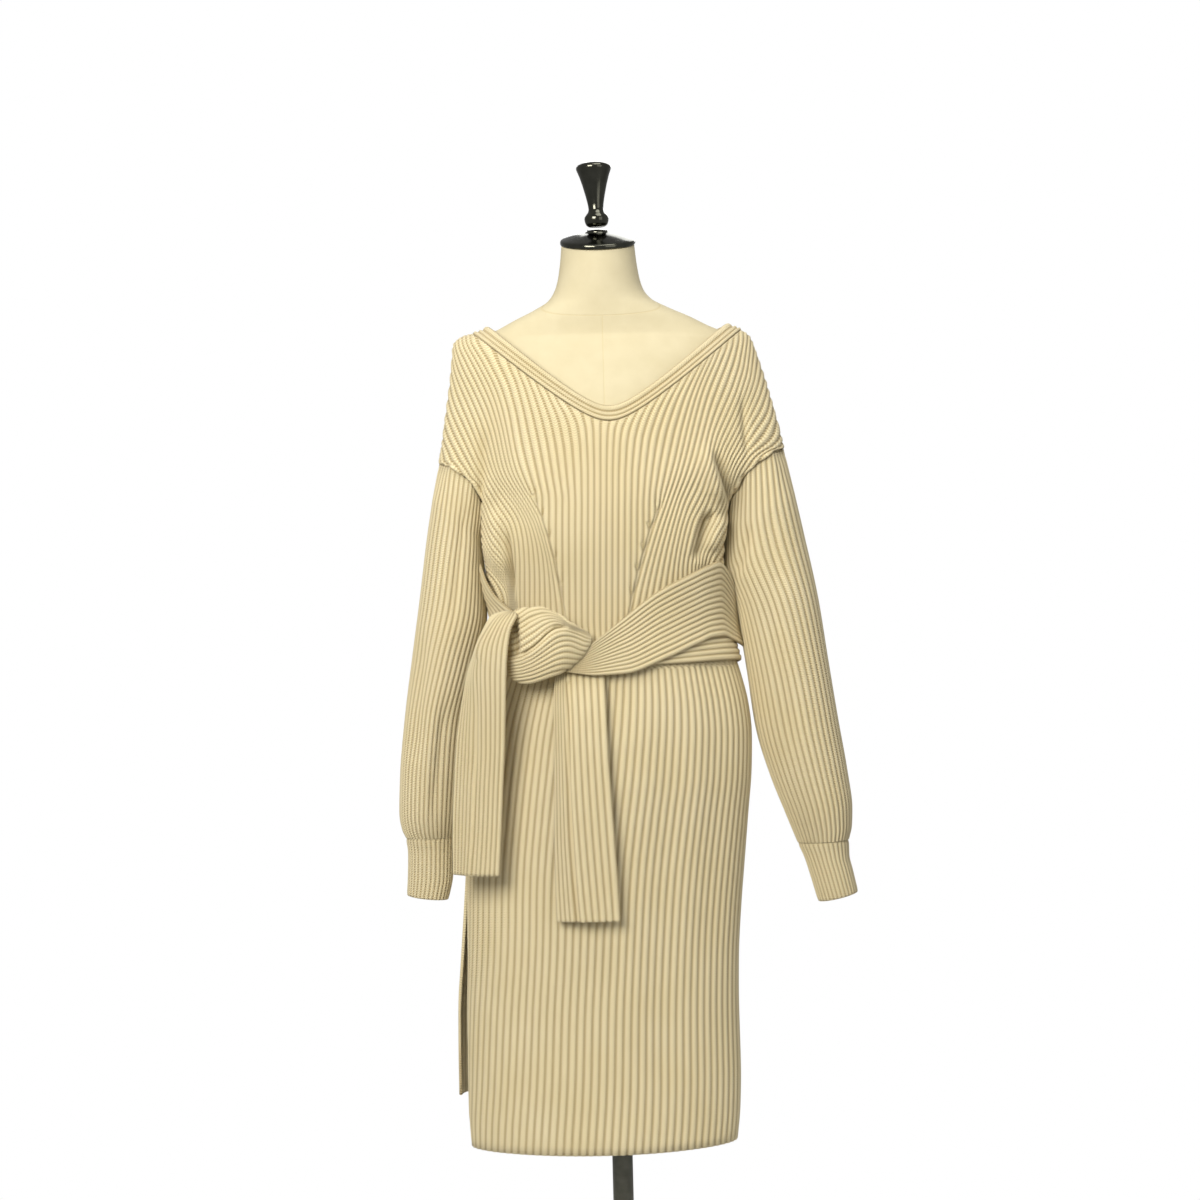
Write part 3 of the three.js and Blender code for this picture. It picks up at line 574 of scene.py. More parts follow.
FRONT_RIBS = RibChart(
    lines=(
        (-34, ((440, 520), (499, 577), (506, 588), (510.6, 600))),
        (-32, ((440, 510), (493, 566), (500, 577), (507, 584), (511, 590), (511.2, 600))),
        (-30, ((440, 500), (488, 556), (494, 567), (500, 573), (506, 577), (510.4, 580), (511.8, 600))),
        (-28, ((440, 488), (480, 530), (486, 545), (491, 555), (498, 563), (504, 567), (509.5, 569), (512.4, 600))),
        (-26, ((440, 465), (450, 475), (463, 488), (476, 501), (482, 516), (486, 530), (490, 540), (496, 550),
               (503, 556), (508.8, 559), (513, 600))),
        (-24, ((441, 440), (447, 450), (456, 465), (467, 480), (480, 496), (485.5, 510), (490, 522), (496, 532),
               (503, 540), (508.5, 544), (510.8, 560), (513.6, 600))),
        (-22, ((446, 415), (452, 430), (462, 450), (470, 465), (479, 480), (486.5, 495), (493, 510), (503, 522),
               (509.5, 533), (512, 546), (514.2, 600))),
        (-20, ((450, 393), (454, 405), (466, 430), (475, 450), (482, 465), (488.5, 480), (496, 495), (507, 510),
               (514.5, 522), (518.5, 540), (520, 560), (520, 600))),
        (-18, ((453, 370), (466, 400), (478, 430), (486, 450), (491, 465), (496, 480), (507, 495), (518.5, 509),
               (525.5, 523), (529, 545), (530, 570), (530, 600))),
        (-16, ((455, 350), (462, 368), (472, 388), (482, 409), (490, 430), (495, 450), (498, 465), (503, 479),
               (513, 494), (525, 512), (533, 528), (538, 548), (540, 570), (540, 600))),
        (-14, ((463, 345), (472, 362), (483, 384), (492, 405), (499, 430), (504, 455), (508, 470), (514, 483),
               (526, 502), (537, 520), (543, 538), (548, 558), (550, 580), (551, 600))),
        (-12, ((470, 343), (481, 360), (494, 384), (502, 408), (508, 435), (513, 460), (518, 476), (525, 489),
               (539, 514), (546, 536), (552, 557), (558, 582), (563, 610))),
        (-11, ((475, 343), (488, 362), (501, 386), (509, 412), (514, 445), (519, 465), (526, 483), (531, 495),
               (532, 620))),
        (-9, ((508, 362), (517, 383), (524, 410), (530, 440), (537, 470), (542, 495), (544, 620))),
        (-7, ((525, 372), (533, 390), (541, 415), (547, 440), (552, 470), (556, 495), (557, 620))),
        (-5, ((543, 384), (551, 400), (559, 420), (564, 445), (567, 475), (569, 495), (570, 620))),
        (-3, ((562, 398), (571, 410), (578, 424), (581, 445), (582, 475), (582, 620))),
        (-1, ((590, 405), (594, 430), (594.6, 470), (594.4, 620))),
        (1, ((613, 405), (608, 430), (607, 470), (606.6, 620))),
        (3, ((640, 396), (630, 412), (622, 428), (620, 445), (619, 475), (618.6, 620))),
        (5, ((660, 385), (649, 402), (640, 420), (635, 440), (632, 475), (631, 620))),
        (7, ((680, 373), (668, 392), (658, 412), (650, 437), (646, 470), (644, 500), (643, 620))),
        (9, ((697, 362), (686, 380), (676, 402), (667, 430), (661, 460), (656, 490), (655, 620))),
        (10, ((704, 358), (694, 377), (684, 400), (675, 430), (668, 462), (662, 490), (660, 508), (660, 620))),
        (11, ((711, 352), (700, 375), (691, 398), (682, 430), (675, 462), (667, 490), (660, 510), (653, 530),
              (647, 551), (641, 572), (635, 595), (630, 620))),
        (13, ((722, 345), (712, 368), (703, 390), (695, 420), (688, 450), (681, 475), (673, 500), (664, 526),
              (657, 550), (651, 575), (646, 600))),
        (15.2, ((735, 342), (729, 362), (720, 385), (711, 410), (704, 437), (698, 460), (690, 482), (681, 503),
              (674, 527), (668, 552), (663, 580), (660, 600))),
        (16.8, ((743, 343), (739, 365), (731, 390), (721, 412), (713, 432), (709, 452), (704, 470), (696, 490),
              (688, 506), (681, 527), (676, 552), (672, 580))),
        (18.3, ((748, 345), (745, 370), (738, 393), (729, 414), (720, 434), (714, 452), (711, 470), (707, 488),
              (699, 504), (690, 520), (684, 542), (680, 565))),
        (19.6, ((752, 352), (750, 375), (743, 397), (735, 418), (725, 438), (717, 455), (715, 472), (713, 487),
              (705, 505), (696, 520), (691, 542), (686, 565))),
        (20.9, ((757, 360), (753, 385), (745, 405), (737, 428), (726, 448), (719, 465), (719, 482), (716, 500),
              (706, 516), (698, 536), (692, 560))),
        (22.2, ((762, 374), (755, 396), (746, 416), (738, 438), (727, 457), (722, 474), (723, 492), (720, 507),
              (711, 521), (703, 538), (696, 560))),
        (23.6, ((766, 392), (757, 411), (747, 427), (739, 448), (729, 464), (725, 480), (726, 498), (723, 512),
              (714, 528), (706, 545), (700, 562))),
        (25.4, ((771, 415), (759, 430), (748, 444), (740, 459), (731, 473), (728, 488), (729, 510), (724, 527),
              (714, 545), (706, 562))),
        (27.2, ((776, 441), (762, 448), (750, 456), (742, 470), (733, 484), (731, 500), (732, 530), (722, 550),
              (712, 566))),
    ),
    left_marks=((533, 495), (541, 515), (548.5, 537), (554.5, 558), (560, 583), (566, 620)),
    right_marks=((658, 508), (650, 529), (644, 550), (638, 571), (632.5, 594), (627, 620)),
)
BACK_RIBS = RibChart(lines=(
    (-34, ((425, 455), (440, 475), (455, 500), (457, 540), (450, 620))),
    (-30, ((433, 430), (447, 455), (463, 490), (467, 540), (462, 620))),
    (-26, ((443, 400), (457, 440), (471, 480), (477, 540), (474, 620))),
    (-22, ((453, 370), (469, 430), (481, 480), (488, 540), (488, 620))),
    (-18, ((470, 345), (487, 430), (500, 500), (506, 560), (506, 620))),
    (-14, ((493, 330), (509, 430), (521, 520), (525, 620))),
    (-9, ((533, 330), (545, 450), (550, 520), (551, 620))),
    (-4, ((574, 330), (580, 450), (581, 620))),
    (4, ((632, 330), (630, 450), (629, 620))),
    (9, ((673, 330), (665, 450), (660, 520), (659, 620))),
    (14, ((713, 330), (701, 430), (689, 520), (685, 620))),
    (18, ((737, 345), (723, 430), (710, 500), (704, 560), (704, 620))),
    (22, ((756, 370), (741, 430), (729, 480), (722, 540), (722, 620))),
    (26, ((767, 400), (753, 440), (739, 480), (733, 540), (736, 620))),
    (30, ((777, 430), (763, 455), (747, 490), (743, 540), (748, 620))),
    (34, ((785, 455), (770, 475), (755, 500), (753, 540), (760, 620))),
))


@dataclass
class DressPanel:
    """The front or the back of the dress, from the neckband to the hem, with its ribs and folds."""

    name: str
    facing: Facing
    chart: RibChart
    skirt_ribs: tuple[float, float]
    skirt_right: float
    hem_at: float
    folds: tuple[Fold, ...] = ()
    columns: int = 380
    bodice_step: float = 2.4
    skirt_step: float = 14.0
    line_steps: int = 240

    @property
    def key(self) -> str:
        """The panel's part of the section table's column names."""
        return self.facing.name.lower()

    def ends(self, at: Array) -> tuple[Array, Array]:
        """The two ends of the sections on the seams.

        Args:
            at: Places along the section table.

        Returns:
            The left and right ends as (n, 3) each.
        """
        gap = self.facing.value * SEAM_GAP / 2
        zero = np.zeros_like(at)
        back = self.facing is Facing.BACK
        slit = SECTIONS.along("slit", at) if back else zero
        overlap = zero if back else SLIT_OVERLAP * ramp(SLIT_TOP, SLIT_TOP + 2, at)
        left = np.stack([SECTIONS.along("leftX", at) - slit, gap - overlap, SECTIONS.along("leftZ", at)], -1)
        right = np.stack([SECTIONS.along("rightX", at), gap + zero, SECTIONS.along("rightZ", at)], -1)
        turn = (at - ARM_TOP) / (ARMPIT - ARM_TOP)
        inside = ((at > ARM_TOP) & (at < ARMPIT))[:, None]
        lift = np.array([0, gap, 0])
        left = np.where(inside, ARMHOLES[Side.LEFT].seam(turn, self.facing.value) + lift, left)
        right = np.where(inside, ARMHOLES[Side.RIGHT].seam(turn, self.facing.value) + lift, right)
        return left, right

    def surface(self, share: Array, at: Array) -> tuple[Array, Array]:
        """The plain outer surface.

        Args:
            share: Shares across a section, from its left end to its right.
            at: Places along the section table.

        Returns:
            Points as (rows, columns, 3), and the length of each section.
        """
        left, right = self.ends(at)
        depth = SECTIONS.along(f"{self.key}Depth", at)[:, None]
        flank = depth * SECTIONS.along(f"{self.key}Flank", at)[:, None]
        height = SECTIONS.along(f"{self.key}Z", at)[:, None]
        square = SECTIONS.along("square", at)[:, None]
        across = -np.cos(np.pi * ramp(0, self.line_steps, np.arange(self.line_steps + 1)))[None, :]
        far = np.minimum(np.abs(across), 1)
        round_side = (1 - far**square) ** (1 / square)
        middle = (1 - far * far) ** 1.5
        trough = np.zeros(round_side.shape)
        if self.facing is Facing.FRONT:
            trough = self.troughs(across, at[:, None]) * round_side
        end = np.where(across[..., None] < 0, left[:, None], right[:, None])
        half, centre = (right - left)[:, None, 0] / 2, (right + left)[:, None, 0] / 2
        forward = flank * round_side + (depth - flank) * middle - trough
        line = np.stack([
            centre + half * across,
            end[..., 1] * (1 - round_side) + self.facing.value * forward,
            height + (end[..., 2] - height) * self.rise(far),
        ], -1)
        lengths = np.concatenate([
            np.zeros((len(at), 1)), np.cumsum(np.linalg.norm(np.diff(line, axis=1), axis=-1), axis=1)
        ], 1)
        points = np.empty((len(at), len(share), 3))
        for row, (curve, run) in enumerate(zip(line, lengths)):
            for axis in range(3):
                points[row, :, axis] = np.interp(share * run[-1], run, curve[:, axis])
        return points, lengths[:, -1]

    @staticmethod
    def rise(far: Array) -> Array:
        """How far a section has risen to its ends: softly rounded in the middle, then nearly straight."""
        rounding = 0.11
        return ((np.hypot(far, rounding) - rounding) / (math.hypot(1, rounding) - rounding)) ** 1.15

    @staticmethod
    def troughs(across: Array, at: Array) -> Array:
        """How far the soft troughs push the front inward."""
        total = np.zeros(np.broadcast(across, at).shape)
        for side, place, width, depth, start, end in TROUGHS:
            middle = (start + end) / 2
            fade = np.minimum(ramp(start, middle, at) * (1 - ramp(middle, end, at)) * 4, 1)
            total = total + depth * fade * np.exp(-(((across - side * place) / width) ** 2))
        return total

    def outward(self, points: Array) -> Array:
        """Straight out of the panel."""
        return np.broadcast_to(np.array([0.0, self.facing.value, 0.0]), points.shape)

    def rib_phase(self, points: Array, share: Array, at: Array) -> tuple[Array, Array]:
        """The number of the rib at each place, from the chart above the tie and straight below it.

        Args:
            points: The panel's surface.
            share: Shares across a section.
            at: Places down the sections.

        Returns:
            Rib numbers, whole in the furrows, and the distance from the line of fashioning marks.
        """
        bodice, from_mark = self.chart.phase(points)
        count = np.interp(at, [20, self.hem_at], self.skirt_ribs)[:, None]
        skirt = self.skirt_right + count * (share[None, :] - 1)
        under_tie = ramp(19.6, 20.6, at)[:, None]
        return bodice * (1 - under_tie) + skirt * under_tie, from_mark + 99 * under_tie

    @staticmethod
    def smoothed(points: Array, share: Array, at: Array) -> Array:
        """The bodice eased into one soft surface away from its edges, with the seams left where they are.

        Args:
            points: The panel's surface.
            share: Shares across a section.
            at: Places down the sections.

        Returns:
            The eased surface.
        """
        reach = 30
        kernel = np.exp(-((np.arange(-reach, reach + 1) / (reach / 2)) ** 2))
        kernel /= kernel.sum()
        padded = np.pad(points, ((reach, reach), (0, 0), (0, 0)), mode="reflect", reflect_type="odd")
        soft = sum(weight * padded[i:i + len(points)] for i, weight in enumerate(kernel))
        inner = ramp(0, 0.1, share) * ramp(0, 0.1, 1 - share)
        rows = ramp(1, 3, at) * (1 - ramp(17, 19, at))
        return points + (soft - points) * (rows[:, None] * inner[None, :])[..., None]

    def build(self) -> bpy.types.Object:
        """The panel as a closed wall of ribbed cloth."""
        share = np.linspace(0, 1, self.columns + 1)
        waist = LEVEL_FROM + 5
        top = BAND_EDGE + 0.04
        probe = np.linspace(top, self.hem_at, 400)
        middle = self.surface(np.array([0.25, 0.5]), probe)[0]
        run = np.concatenate([[0], np.cumsum(np.linalg.norm(np.diff(middle, axis=0), axis=-1).max(axis=1))])
        waist_run = np.interp(waist, probe, run)
        upper = np.interp(np.arange(0, waist_run, self.bodice_step), run, probe)
        lower = np.interp(np.linspace(waist_run, run[-1], int((run[-1] - waist_run) / self.skirt_step)), run, probe)
        at = np.concatenate([upper, lower])
        plain, lengths = self.surface(share, at)
        plain = self.smoothed(plain, share, at)
        normal = surface_normals(plain, False, self.outward)
        push = np.zeros(plain.shape[:2])
        for fold in self.folds + self.chart.loops():
            push = push + fold.push(plain)
        from_seams = np.minimum(share, 1 - share)[None, :] * lengths[:, None]
        way = unit(normal + self.outward(plain))
        plain = plain - way * (push * ramp(0, 12, from_seams))[..., None]
        normal = surface_normals(plain, False, self.outward)
        phase, from_mark = self.rib_phase(plain, share, at)
        run_down = rows_down(plain)
        stitch_rows = VIEW.readings(plain)[1] * VIEW.step / STITCH_ROW
        across_rib = np.abs(np.gradient(phase, axis=1)) / np.linalg.norm(np.gradient(plain, axis=1), axis=-1)
        down_rib = np.abs(np.gradient(phase, axis=0)) / np.linalg.norm(np.gradient(plain, axis=0), axis=-1)
        crowding = np.hypot(across_rib, down_rib)
        taper = ramp(0.2, 3.2, run_down) * ramp(0, 1.6, from_mark) * (1 - ramp(0.3, 0.5, crowding))
        relief = RIB_HEIGHT * ribs(phase) * taper
        wall = cloth_wall(plain, normal, relief, np.stack([phase, stitch_rows], -1), False)
        self.close_seams(wall, plain, at)
        return wall.build(self.name)

    def close_seams(self, wall: Wall, plain: Array, at: Array) -> None:
        """Sets the panel's edges on the seams, so that both panels and the sleeve meet there."""
        rows = coarse(plain.shape[0], 3)
        on_arm = (at > ARM_TOP) & (at < ARMPIT)
        for column, side in ((0, Side.LEFT), (-1, Side.RIGHT)):
            wall.outer[:, column] = plain[:, column]
            wall.inner[:, column, 1] = plain[rows, column, 1]
            held = on_arm[rows]
            wall.inner[held, column] = ARMHOLES[side].inside(plain[rows][held, column])


def hem_at_height(height: float) -> float:
    """The place along the section table at a height below the armpit."""
    places = np.linspace(LEVEL_FROM, HEM, 4000)
    return float(np.interp(-height, -SECTIONS.along("frontZ", places), places))


@dataclass
class Neckband:
    """The band round the neck: a rolled edge and two ribs that run along it, in one ring."""

    front: DressPanel
    back: DressPanel
    profile: Table = field(default_factory=lambda: Table("at lift", [
        [0.0, -1.2], [0.0, 0.8], [0.08, 2.5], [0.18, 3.2], [0.28, 2.7], [0.36, 1.2], [0.42, 0.2], [0.48, 1.2],
        [0.565, 2.6], [0.65, 1.3], [0.71, 0.2], [0.77, 1.3], [0.85, 2.6], [0.93, 1.4], [0.985, 0.3],
    ]))
    steps: int = 260

    def build(self) -> bpy.types.Object:
        """The band as a closed ring."""
        part = self.profile.rows[:, 0]
        place = part * BAND_EDGE
        share = np.arange(self.steps) / self.steps
        front, _ = self.front.surface(share, place)
        back, _ = self.back.surface(1 - share, place)
        plain = np.concatenate([front, back], 1)
        fine = np.linspace(0, BAND_EDGE, 40)
        sheet = np.concatenate([self.front.surface(share, fine)[0], self.back.surface(1 - share, fine)[0]], 1)
        normals = surface_normals(sheet, True, lambda p: p - p.mean(axis=(0, 1)))
        normal = normals[np.round(part * 39).astype(int)]
        lift = self.profile.rows[:, 1][:, None] * np.ones((1, plain.shape[1]))
        run = np.linalg.norm(np.diff(np.append(plain[5], plain[5][:1], 0), axis=0), axis=-1)
        v = np.concatenate([[0], np.cumsum(run)]) / STITCH_ROW
        u = np.interp(part, [0, 0.42, 0.71, 1], [0.0, 1.0, 2.0, 3.0])
        uv = np.stack(np.broadcast_arrays(u[:, None], v[None, :]), -1)
        return cloth_wall(plain, normal, lift, uv, True).build("neckband_cloth")


SLEEVES = {
    Side.LEFT: Table("outerX outerZ innerX innerZ depth", [
        [-241.5, 1136, -175.5, 1076, 54],
        [-251, 1080, -174.5, 1038, 56],
        [-263, 996, -172.5, 976, 58],
        [-276, 912, -187, 903, 58],
        [-288, 829, -207, 825, 56],
        [-296, 755, -215, 753, 53],
        [-298.5, 700, -220, 699, 48],
        [-295.5, 677, -223, 677, 42],
        [-290.5, 665, -225.5, 665, 36],
    ]),
    Side.RIGHT: Table("outerX outerZ innerX innerZ depth", [
        [262, 1130, 166, 1080, 54],
        [274, 1072, 163, 1036, 57],
        [291, 985, 180, 970, 60],
        [303, 898, 192, 890, 60],
        [315, 814, 203, 806, 58],
        [325, 750, 220, 744, 54],
        [331.5, 695, 240, 690, 48],
        [330.5, 668, 250, 664, 41],
        [326, 648, 257.5, 645, 35],
    ]),
}
CUFFS = {
    Side.LEFT: Table("outerX outerZ innerX innerZ depth", [
        [-290.5, 664.6, -225.5, 664.6, 36],
        [-288, 642, -227.5, 642, 32],
        [-289, 612, -229, 610, 32],
        [-291, 584, -236, 577, 31],
    ]),
    Side.RIGHT: Table("outerX outerZ innerX innerZ depth", [
        [325.9, 647, 257.4, 644, 35],
        [326, 626, 266.5, 623, 32],
        [330.5, 604, 273.5, 600, 32],
        [337, 574, 284, 562, 31],
    ]),
}


def arm_rings(table: Table, at: Array, angle: Array) -> Array:
    """Rings of a sleeve through its outer and inner edges.

    Args:
        table: The sleeve's sections.
        at: Places along the table.
        angle: Angles from the outer edge by way of the front.

    Returns:
        Points as (rows, columns, 3).
    """
    row = {name: value[:, None] for name, value in table.read(at).items()}
    angle = np.atleast_2d(angle)
    reach, swing = np.cos(angle) / 2, np.sin(angle)
    return np.stack([
        (row["outerX"] + row["innerX"]) / 2 + (row["outerX"] - row["innerX"]) * reach,
        -row["depth"] * swing,
        (row["outerZ"] + row["innerZ"]) / 2 + (row["outerZ"] - row["innerZ"]) * reach,
    ], -1)


@dataclass
class Sleeve:
    """A sleeve of ribbed cloth from the armhole's seam to the cuff."""

    side: Side
    rib_count: int = 38
    twist: float = 0.0
    seam_shift: float = 0.42
    folds: tuple[Fold, ...] = ()
    columns_a_rib: int = 6
    rows: int = 112

    def build(self) -> bpy.types.Object:
        """The sleeve as a closed wall."""
        table, hole = SLEEVES[self.side], ARMHOLES[self.side]
        columns = self.rib_count * self.columns_a_rib
        angle = 2 * np.pi * np.arange(columns) / columns
        at = np.concatenate([np.linspace(-0.9, 0, 14)[:-1], np.linspace(0, table.last, self.rows)])
        turn = np.where(angle <= np.pi, angle / np.pi, 2 - angle / np.pi)
        facing = np.where(angle <= np.pi, -1, 1)
        axis = np.array([math.copysign(0.78, hole.outer[0]), 0, -0.63])
        start = hole.seam(turn, facing) + (SEAM_GAP * 2.4 + ARMPIT_EASE * turn**3)[:, None] * axis
        inward = angle + self.seam_shift * (1 - ramp(0, 4, at))[:, None] * np.sin(angle)
        rings = arm_rings(table, at, inward)
        blend = ramp(-0.9, 0.35, at)[:, None, None]
        straight = np.clip((at + 0.9) / 0.9, 0, 1)[:, None, None]
        upper = start[None] + (arm_rings(table, np.array([0.0]), inward[:1])[0] - start)[None] * straight
        plain = upper * (1 - blend) + rings * blend
        normal = surface_normals(plain, True, lambda p: p - p.mean(axis=1, keepdims=True))
        push = np.zeros(plain.shape[:2])
        for fold in self.folds:
            push = push + fold.push(plain)
        facing_camera = np.clip(-normal[..., 1] * 1.5, 0, 1)
        inside = ramp(0, 4, np.arange(len(at)))[:, None]
        plain = plain - normal * (push * facing_camera * inside)[..., None]
        normal = surface_normals(plain, True, lambda p: p - p.mean(axis=1, keepdims=True))
        lean = self.twist * at[:, None] / table.last
        number = self.rib_count * np.arange(columns + 1)[None, :] / columns + lean
        relief = RIB_HEIGHT * ribs(number[:, :-1]) * ramp(0, 3, np.arange(len(at)))[:, None]
        down = rows_down(plain)
        uv = np.stack([number, np.append(down, down[:, :1], 1)], -1)
        wall = cloth_wall(plain, normal, relief, uv, True)
        wall.inner[0] = hole.inside(plain[0, ::4])
        return wall.build(f"sleeve_{self.side.value}_cloth")


@dataclass
class Cuff:
    """A snug ribbed cuff from the sleeve's end to the open wrist."""

    side: Side
    rib_count: int = 30
    columns_a_rib: int = 6

    def build(self) -> bpy.types.Object:
        """The cuff as a closed wall."""
        table = CUFFS[self.side]
        columns = self.rib_count * self.columns_a_rib
        angle = 2 * np.pi * np.arange(columns) / columns
        at = np.linspace(0, table.last, 34)
        plain = arm_rings(table, at, angle)
        normal = surface_normals(plain, True, lambda p: p - p.mean(axis=1, keepdims=True))
        number = self.rib_count * np.arange(columns + 1) / columns
        ends = ramp(-1, 3, np.arange(len(at)))[:, None] * (1 - 0.5 * ramp(len(at) - 3, len(at), np.arange(len(at))))[:, None]
        relief = 1.7 * ribs(number[None, :-1]) * ends
        down = rows_down(plain)
        uv = np.stack(np.broadcast_arrays(number[None, :], np.append(down, down[:, :1], 1)), -1)
        return cloth_wall(plain, normal, relief, uv, True).build(f"cuff_{self.side.value}_cloth")


TIE_UPPER = Table("angle top bottom out", [
    [-22, 900, 896, 22],
    [-18, 909.5, 893.5, 24],
    [-13, 921, 890.5, 21],
    [-6, 938.5, 888, 17],
    [6, 965, 889.5, 12],
    [24, 1000, 908, 8.5],
    [42, 1022, 926, 7.5],
    [55, 1034, 935, 7.5],
    [65, 1039, 936, 7],
    [74, 1028, 931, 8],
    [82, 1008, 925, 12],
    [88.9, 992, 920, 14],
])
TIE_BACK = Table("angle top bottom out", [
    [89.1, 992, 920, 14],
    [115, 996, 930, 10.6],
    [150, 996, 936, 9],
    [180, 993, 934, 8],
    [210, 1000, 938, 9],
    [245, 1022, 956, 9],
    [269.4, 1050, 962, 4.4],
])
TIE_LEFT = Table("angle top bottom out", [
    [-90.4, 1050, 962, 4.4],
    [-80, 1040, 950, 5],
    [-70, 1016, 940, 6.4],
    [-60, 992, 932, 8.4],
    [-52, 978, 926, 8.4],
])
TIE_LOWER = Table("angle top bottom out", [
    [10, 925, 899, 2.4],
    [30, 940, 901, 2.4],
    [60, 949, 903, 2.4],
    [90, 951, 901, 4],
    [135, 938, 884, 4.6],
    [180, 930, 876, 3],
    [225, 938, 884, 4.6],
    [270, 958, 908, 3.4],
    [290, 962, 912, 2.8],
    [306, 956, 905, 2.6],
])


def round_the_waist(degrees: Array, height: Array, out: Array) -> Array:
    """Points on the dress at angles round the waist, moved straight out from the cloth.

    Args:
        degrees: Angles from the front middle towards the right side.
        height: Heights.
        out: Distances from the dress.

    Returns:
        Points as (..., 3).
    """
    places = np.linspace(LEVEL_FROM, HEM, 4000)
    at = np.interp(-height, -SECTIONS.along("frontZ", places), places)
    left, right = SECTIONS.along("leftX", at), SECTIONS.along("rightX", at)
    square = SECTIONS.along("square", at)

    def on_cloth(angle: Array) -> Array:
        """A point of the level section at an angle."""
        front = np.cos(angle) > 0
        depth = np.where(front, SECTIONS.along("frontDepth", at), SECTIONS.along("backDepth", at))
        flank = depth * np.where(front, SECTIONS.along("frontFlank", at), SECTIONS.along("backFlank", at))
        far = np.minimum(np.abs(np.sin(angle)), 1)
        forward = flank * (1 - far**square) ** (1 / square) + (depth - flank) * (1 - far * far) ** 1.5
        x = (left + right) / 2 + (right - left) / 2 * np.sin(angle)
        return np.stack([x, -np.sign(np.cos(angle)) * forward, height], -1)

    angle = np.radians(degrees)
    aside = on_cloth(angle + 0.02) - on_cloth(angle - 0.02)
    normal = unit(np.stack([aside[..., 1], -aside[..., 0], np.zeros_like(height)], -1))
    return on_cloth(angle) + normal * out[..., None]


@dataclass
class Strip:
    """A stretch of the tie, with ribs along its length, over a plain inner side."""

    name: str
    table: Table
    rib_count: float
    rows: int
    place: Callable[[dict[str, Array], Array], Array]
    outward: Callable[[Array], Array]
    relief: float = 1.6
    columns_a_rib: int = 7
    folds: tuple[Fold, ...] = ()

    def build(self) -> bpy.types.Object:
        """The stretch as a closed wall."""
        columns = int(self.rib_count * self.columns_a_rib)
        share = np.linspace(0, 1, columns + 1)
        at = np.linspace(0, self.table.last, self.rows)
        base = self.place({k: v[:, None] for k, v in self.table.read(at).items()}, share[None, :])
        normal = surface_normals(base, False, self.outward)
        push = np.zeros(base.shape[:2])
        for fold in self.folds:
            push = push + fold.push(base)
        plain = base + normal * (WALL - push)[..., None]
        phase = np.broadcast_to(share * self.rib_count, base.shape[:2])
        run = rows_down(base)
        hem = ramp(-0.6, 0.8, phase) * ramp(-0.6, 0.8, self.rib_count - phase)
        wall = cloth_wall(plain, normal, self.relief * ribs(phase) * hem, np.stack([phase, run], -1), False)
        return wall.build(self.name)


def waist_place(row: dict[str, Array], share: Array) -> Array:
    """Where a stretch round the waist lies, at a share from its top edge to its bottom."""
    height = row["top"] + (row["bottom"] - row["top"]) * share
    degrees, out = np.broadcast_arrays(row["angle"], height)[0], row["out"] + RIB_HEIGHT + 0 * height
    return round_the_waist(degrees, height, out)


def from_the_waist(points: Array) -> Array:
    """Away from the upright line through the waist."""
    return points * np.array([1.0, 1.0, 0.0])


def tail_place(row: dict[str, Array], share: Array) -> Array:
    """Where a hanging end lies: two flat halves that meet in a rounded fold line."""
    back = np.stack([row["backX"], row["backY"]], -1)
    fold = np.stack([row["foldX"], row["foldY"]], -1)
    free = np.stack([row["freeX"], row["freeY"]], -1)
    t = share[..., None]
    corner = np.where(t < 0.5, back + (fold - back) * t * 2, fold + (free - fold) * (t * 2 - 1))
    curve = back * (1 - t) ** 2 + fold * 2 * t * (1 - t) + free * t * t
    flat = corner + (curve - corner) * 0.35
    return np.concatenate([flat, (row["height"] + 0 * share)[..., None]], -1)


def to_the_front(points: Array) -> Array:
    """Straight towards the viewer."""
    return np.broadcast_to(np.array([0.0, -1.0, 0.0]), points.shape)


TAIL_LEFT = Table("height backX backY foldX foldY freeX freeY", [
    [975, -143, -107, -137, -114, -127, -119],
    [970, -158, -101, -151, -128, -124, -142],
    [953, -169, -100, -166, -139, -132, -153],
    [926, -181, -97, -181, -141, -137, -152],
    [893, -193, -94, -184, -138, -140, -147],
    [844, -204, -90, -182.5, -131, -142.5, -138],
    [795, -212, -86, -183, -125, -145, -130],
    [740, -216.5, -83, -187, -119, -149, -122],
    [680, -220, -81, -191, -113, -153, -116],
    [620, -221, -79, -197, -109, -157.5, -112],
])
TAIL_CENTRE = Table("height backX backY foldX foldY freeX freeY", [
    [892, -75, -109.5, -62, -112, -9, -110.5],
    [878, -76, -111, -62, -119, -8.5, -116],
    [835, -77, -118, -60.5, -134, -7.5, -129],
    [780, -77.5, -121, -59.5, -139, -6, -133],
    [720, -79, -119, -58, -137, -3, -131],
    [650, -81, -113, -54.5, -131, 0.5, -126],
    [600, -81, -110, -51, -127, 3, -122],
    [556, -80.5, -108, -47, -124, 4.5, -120],
])


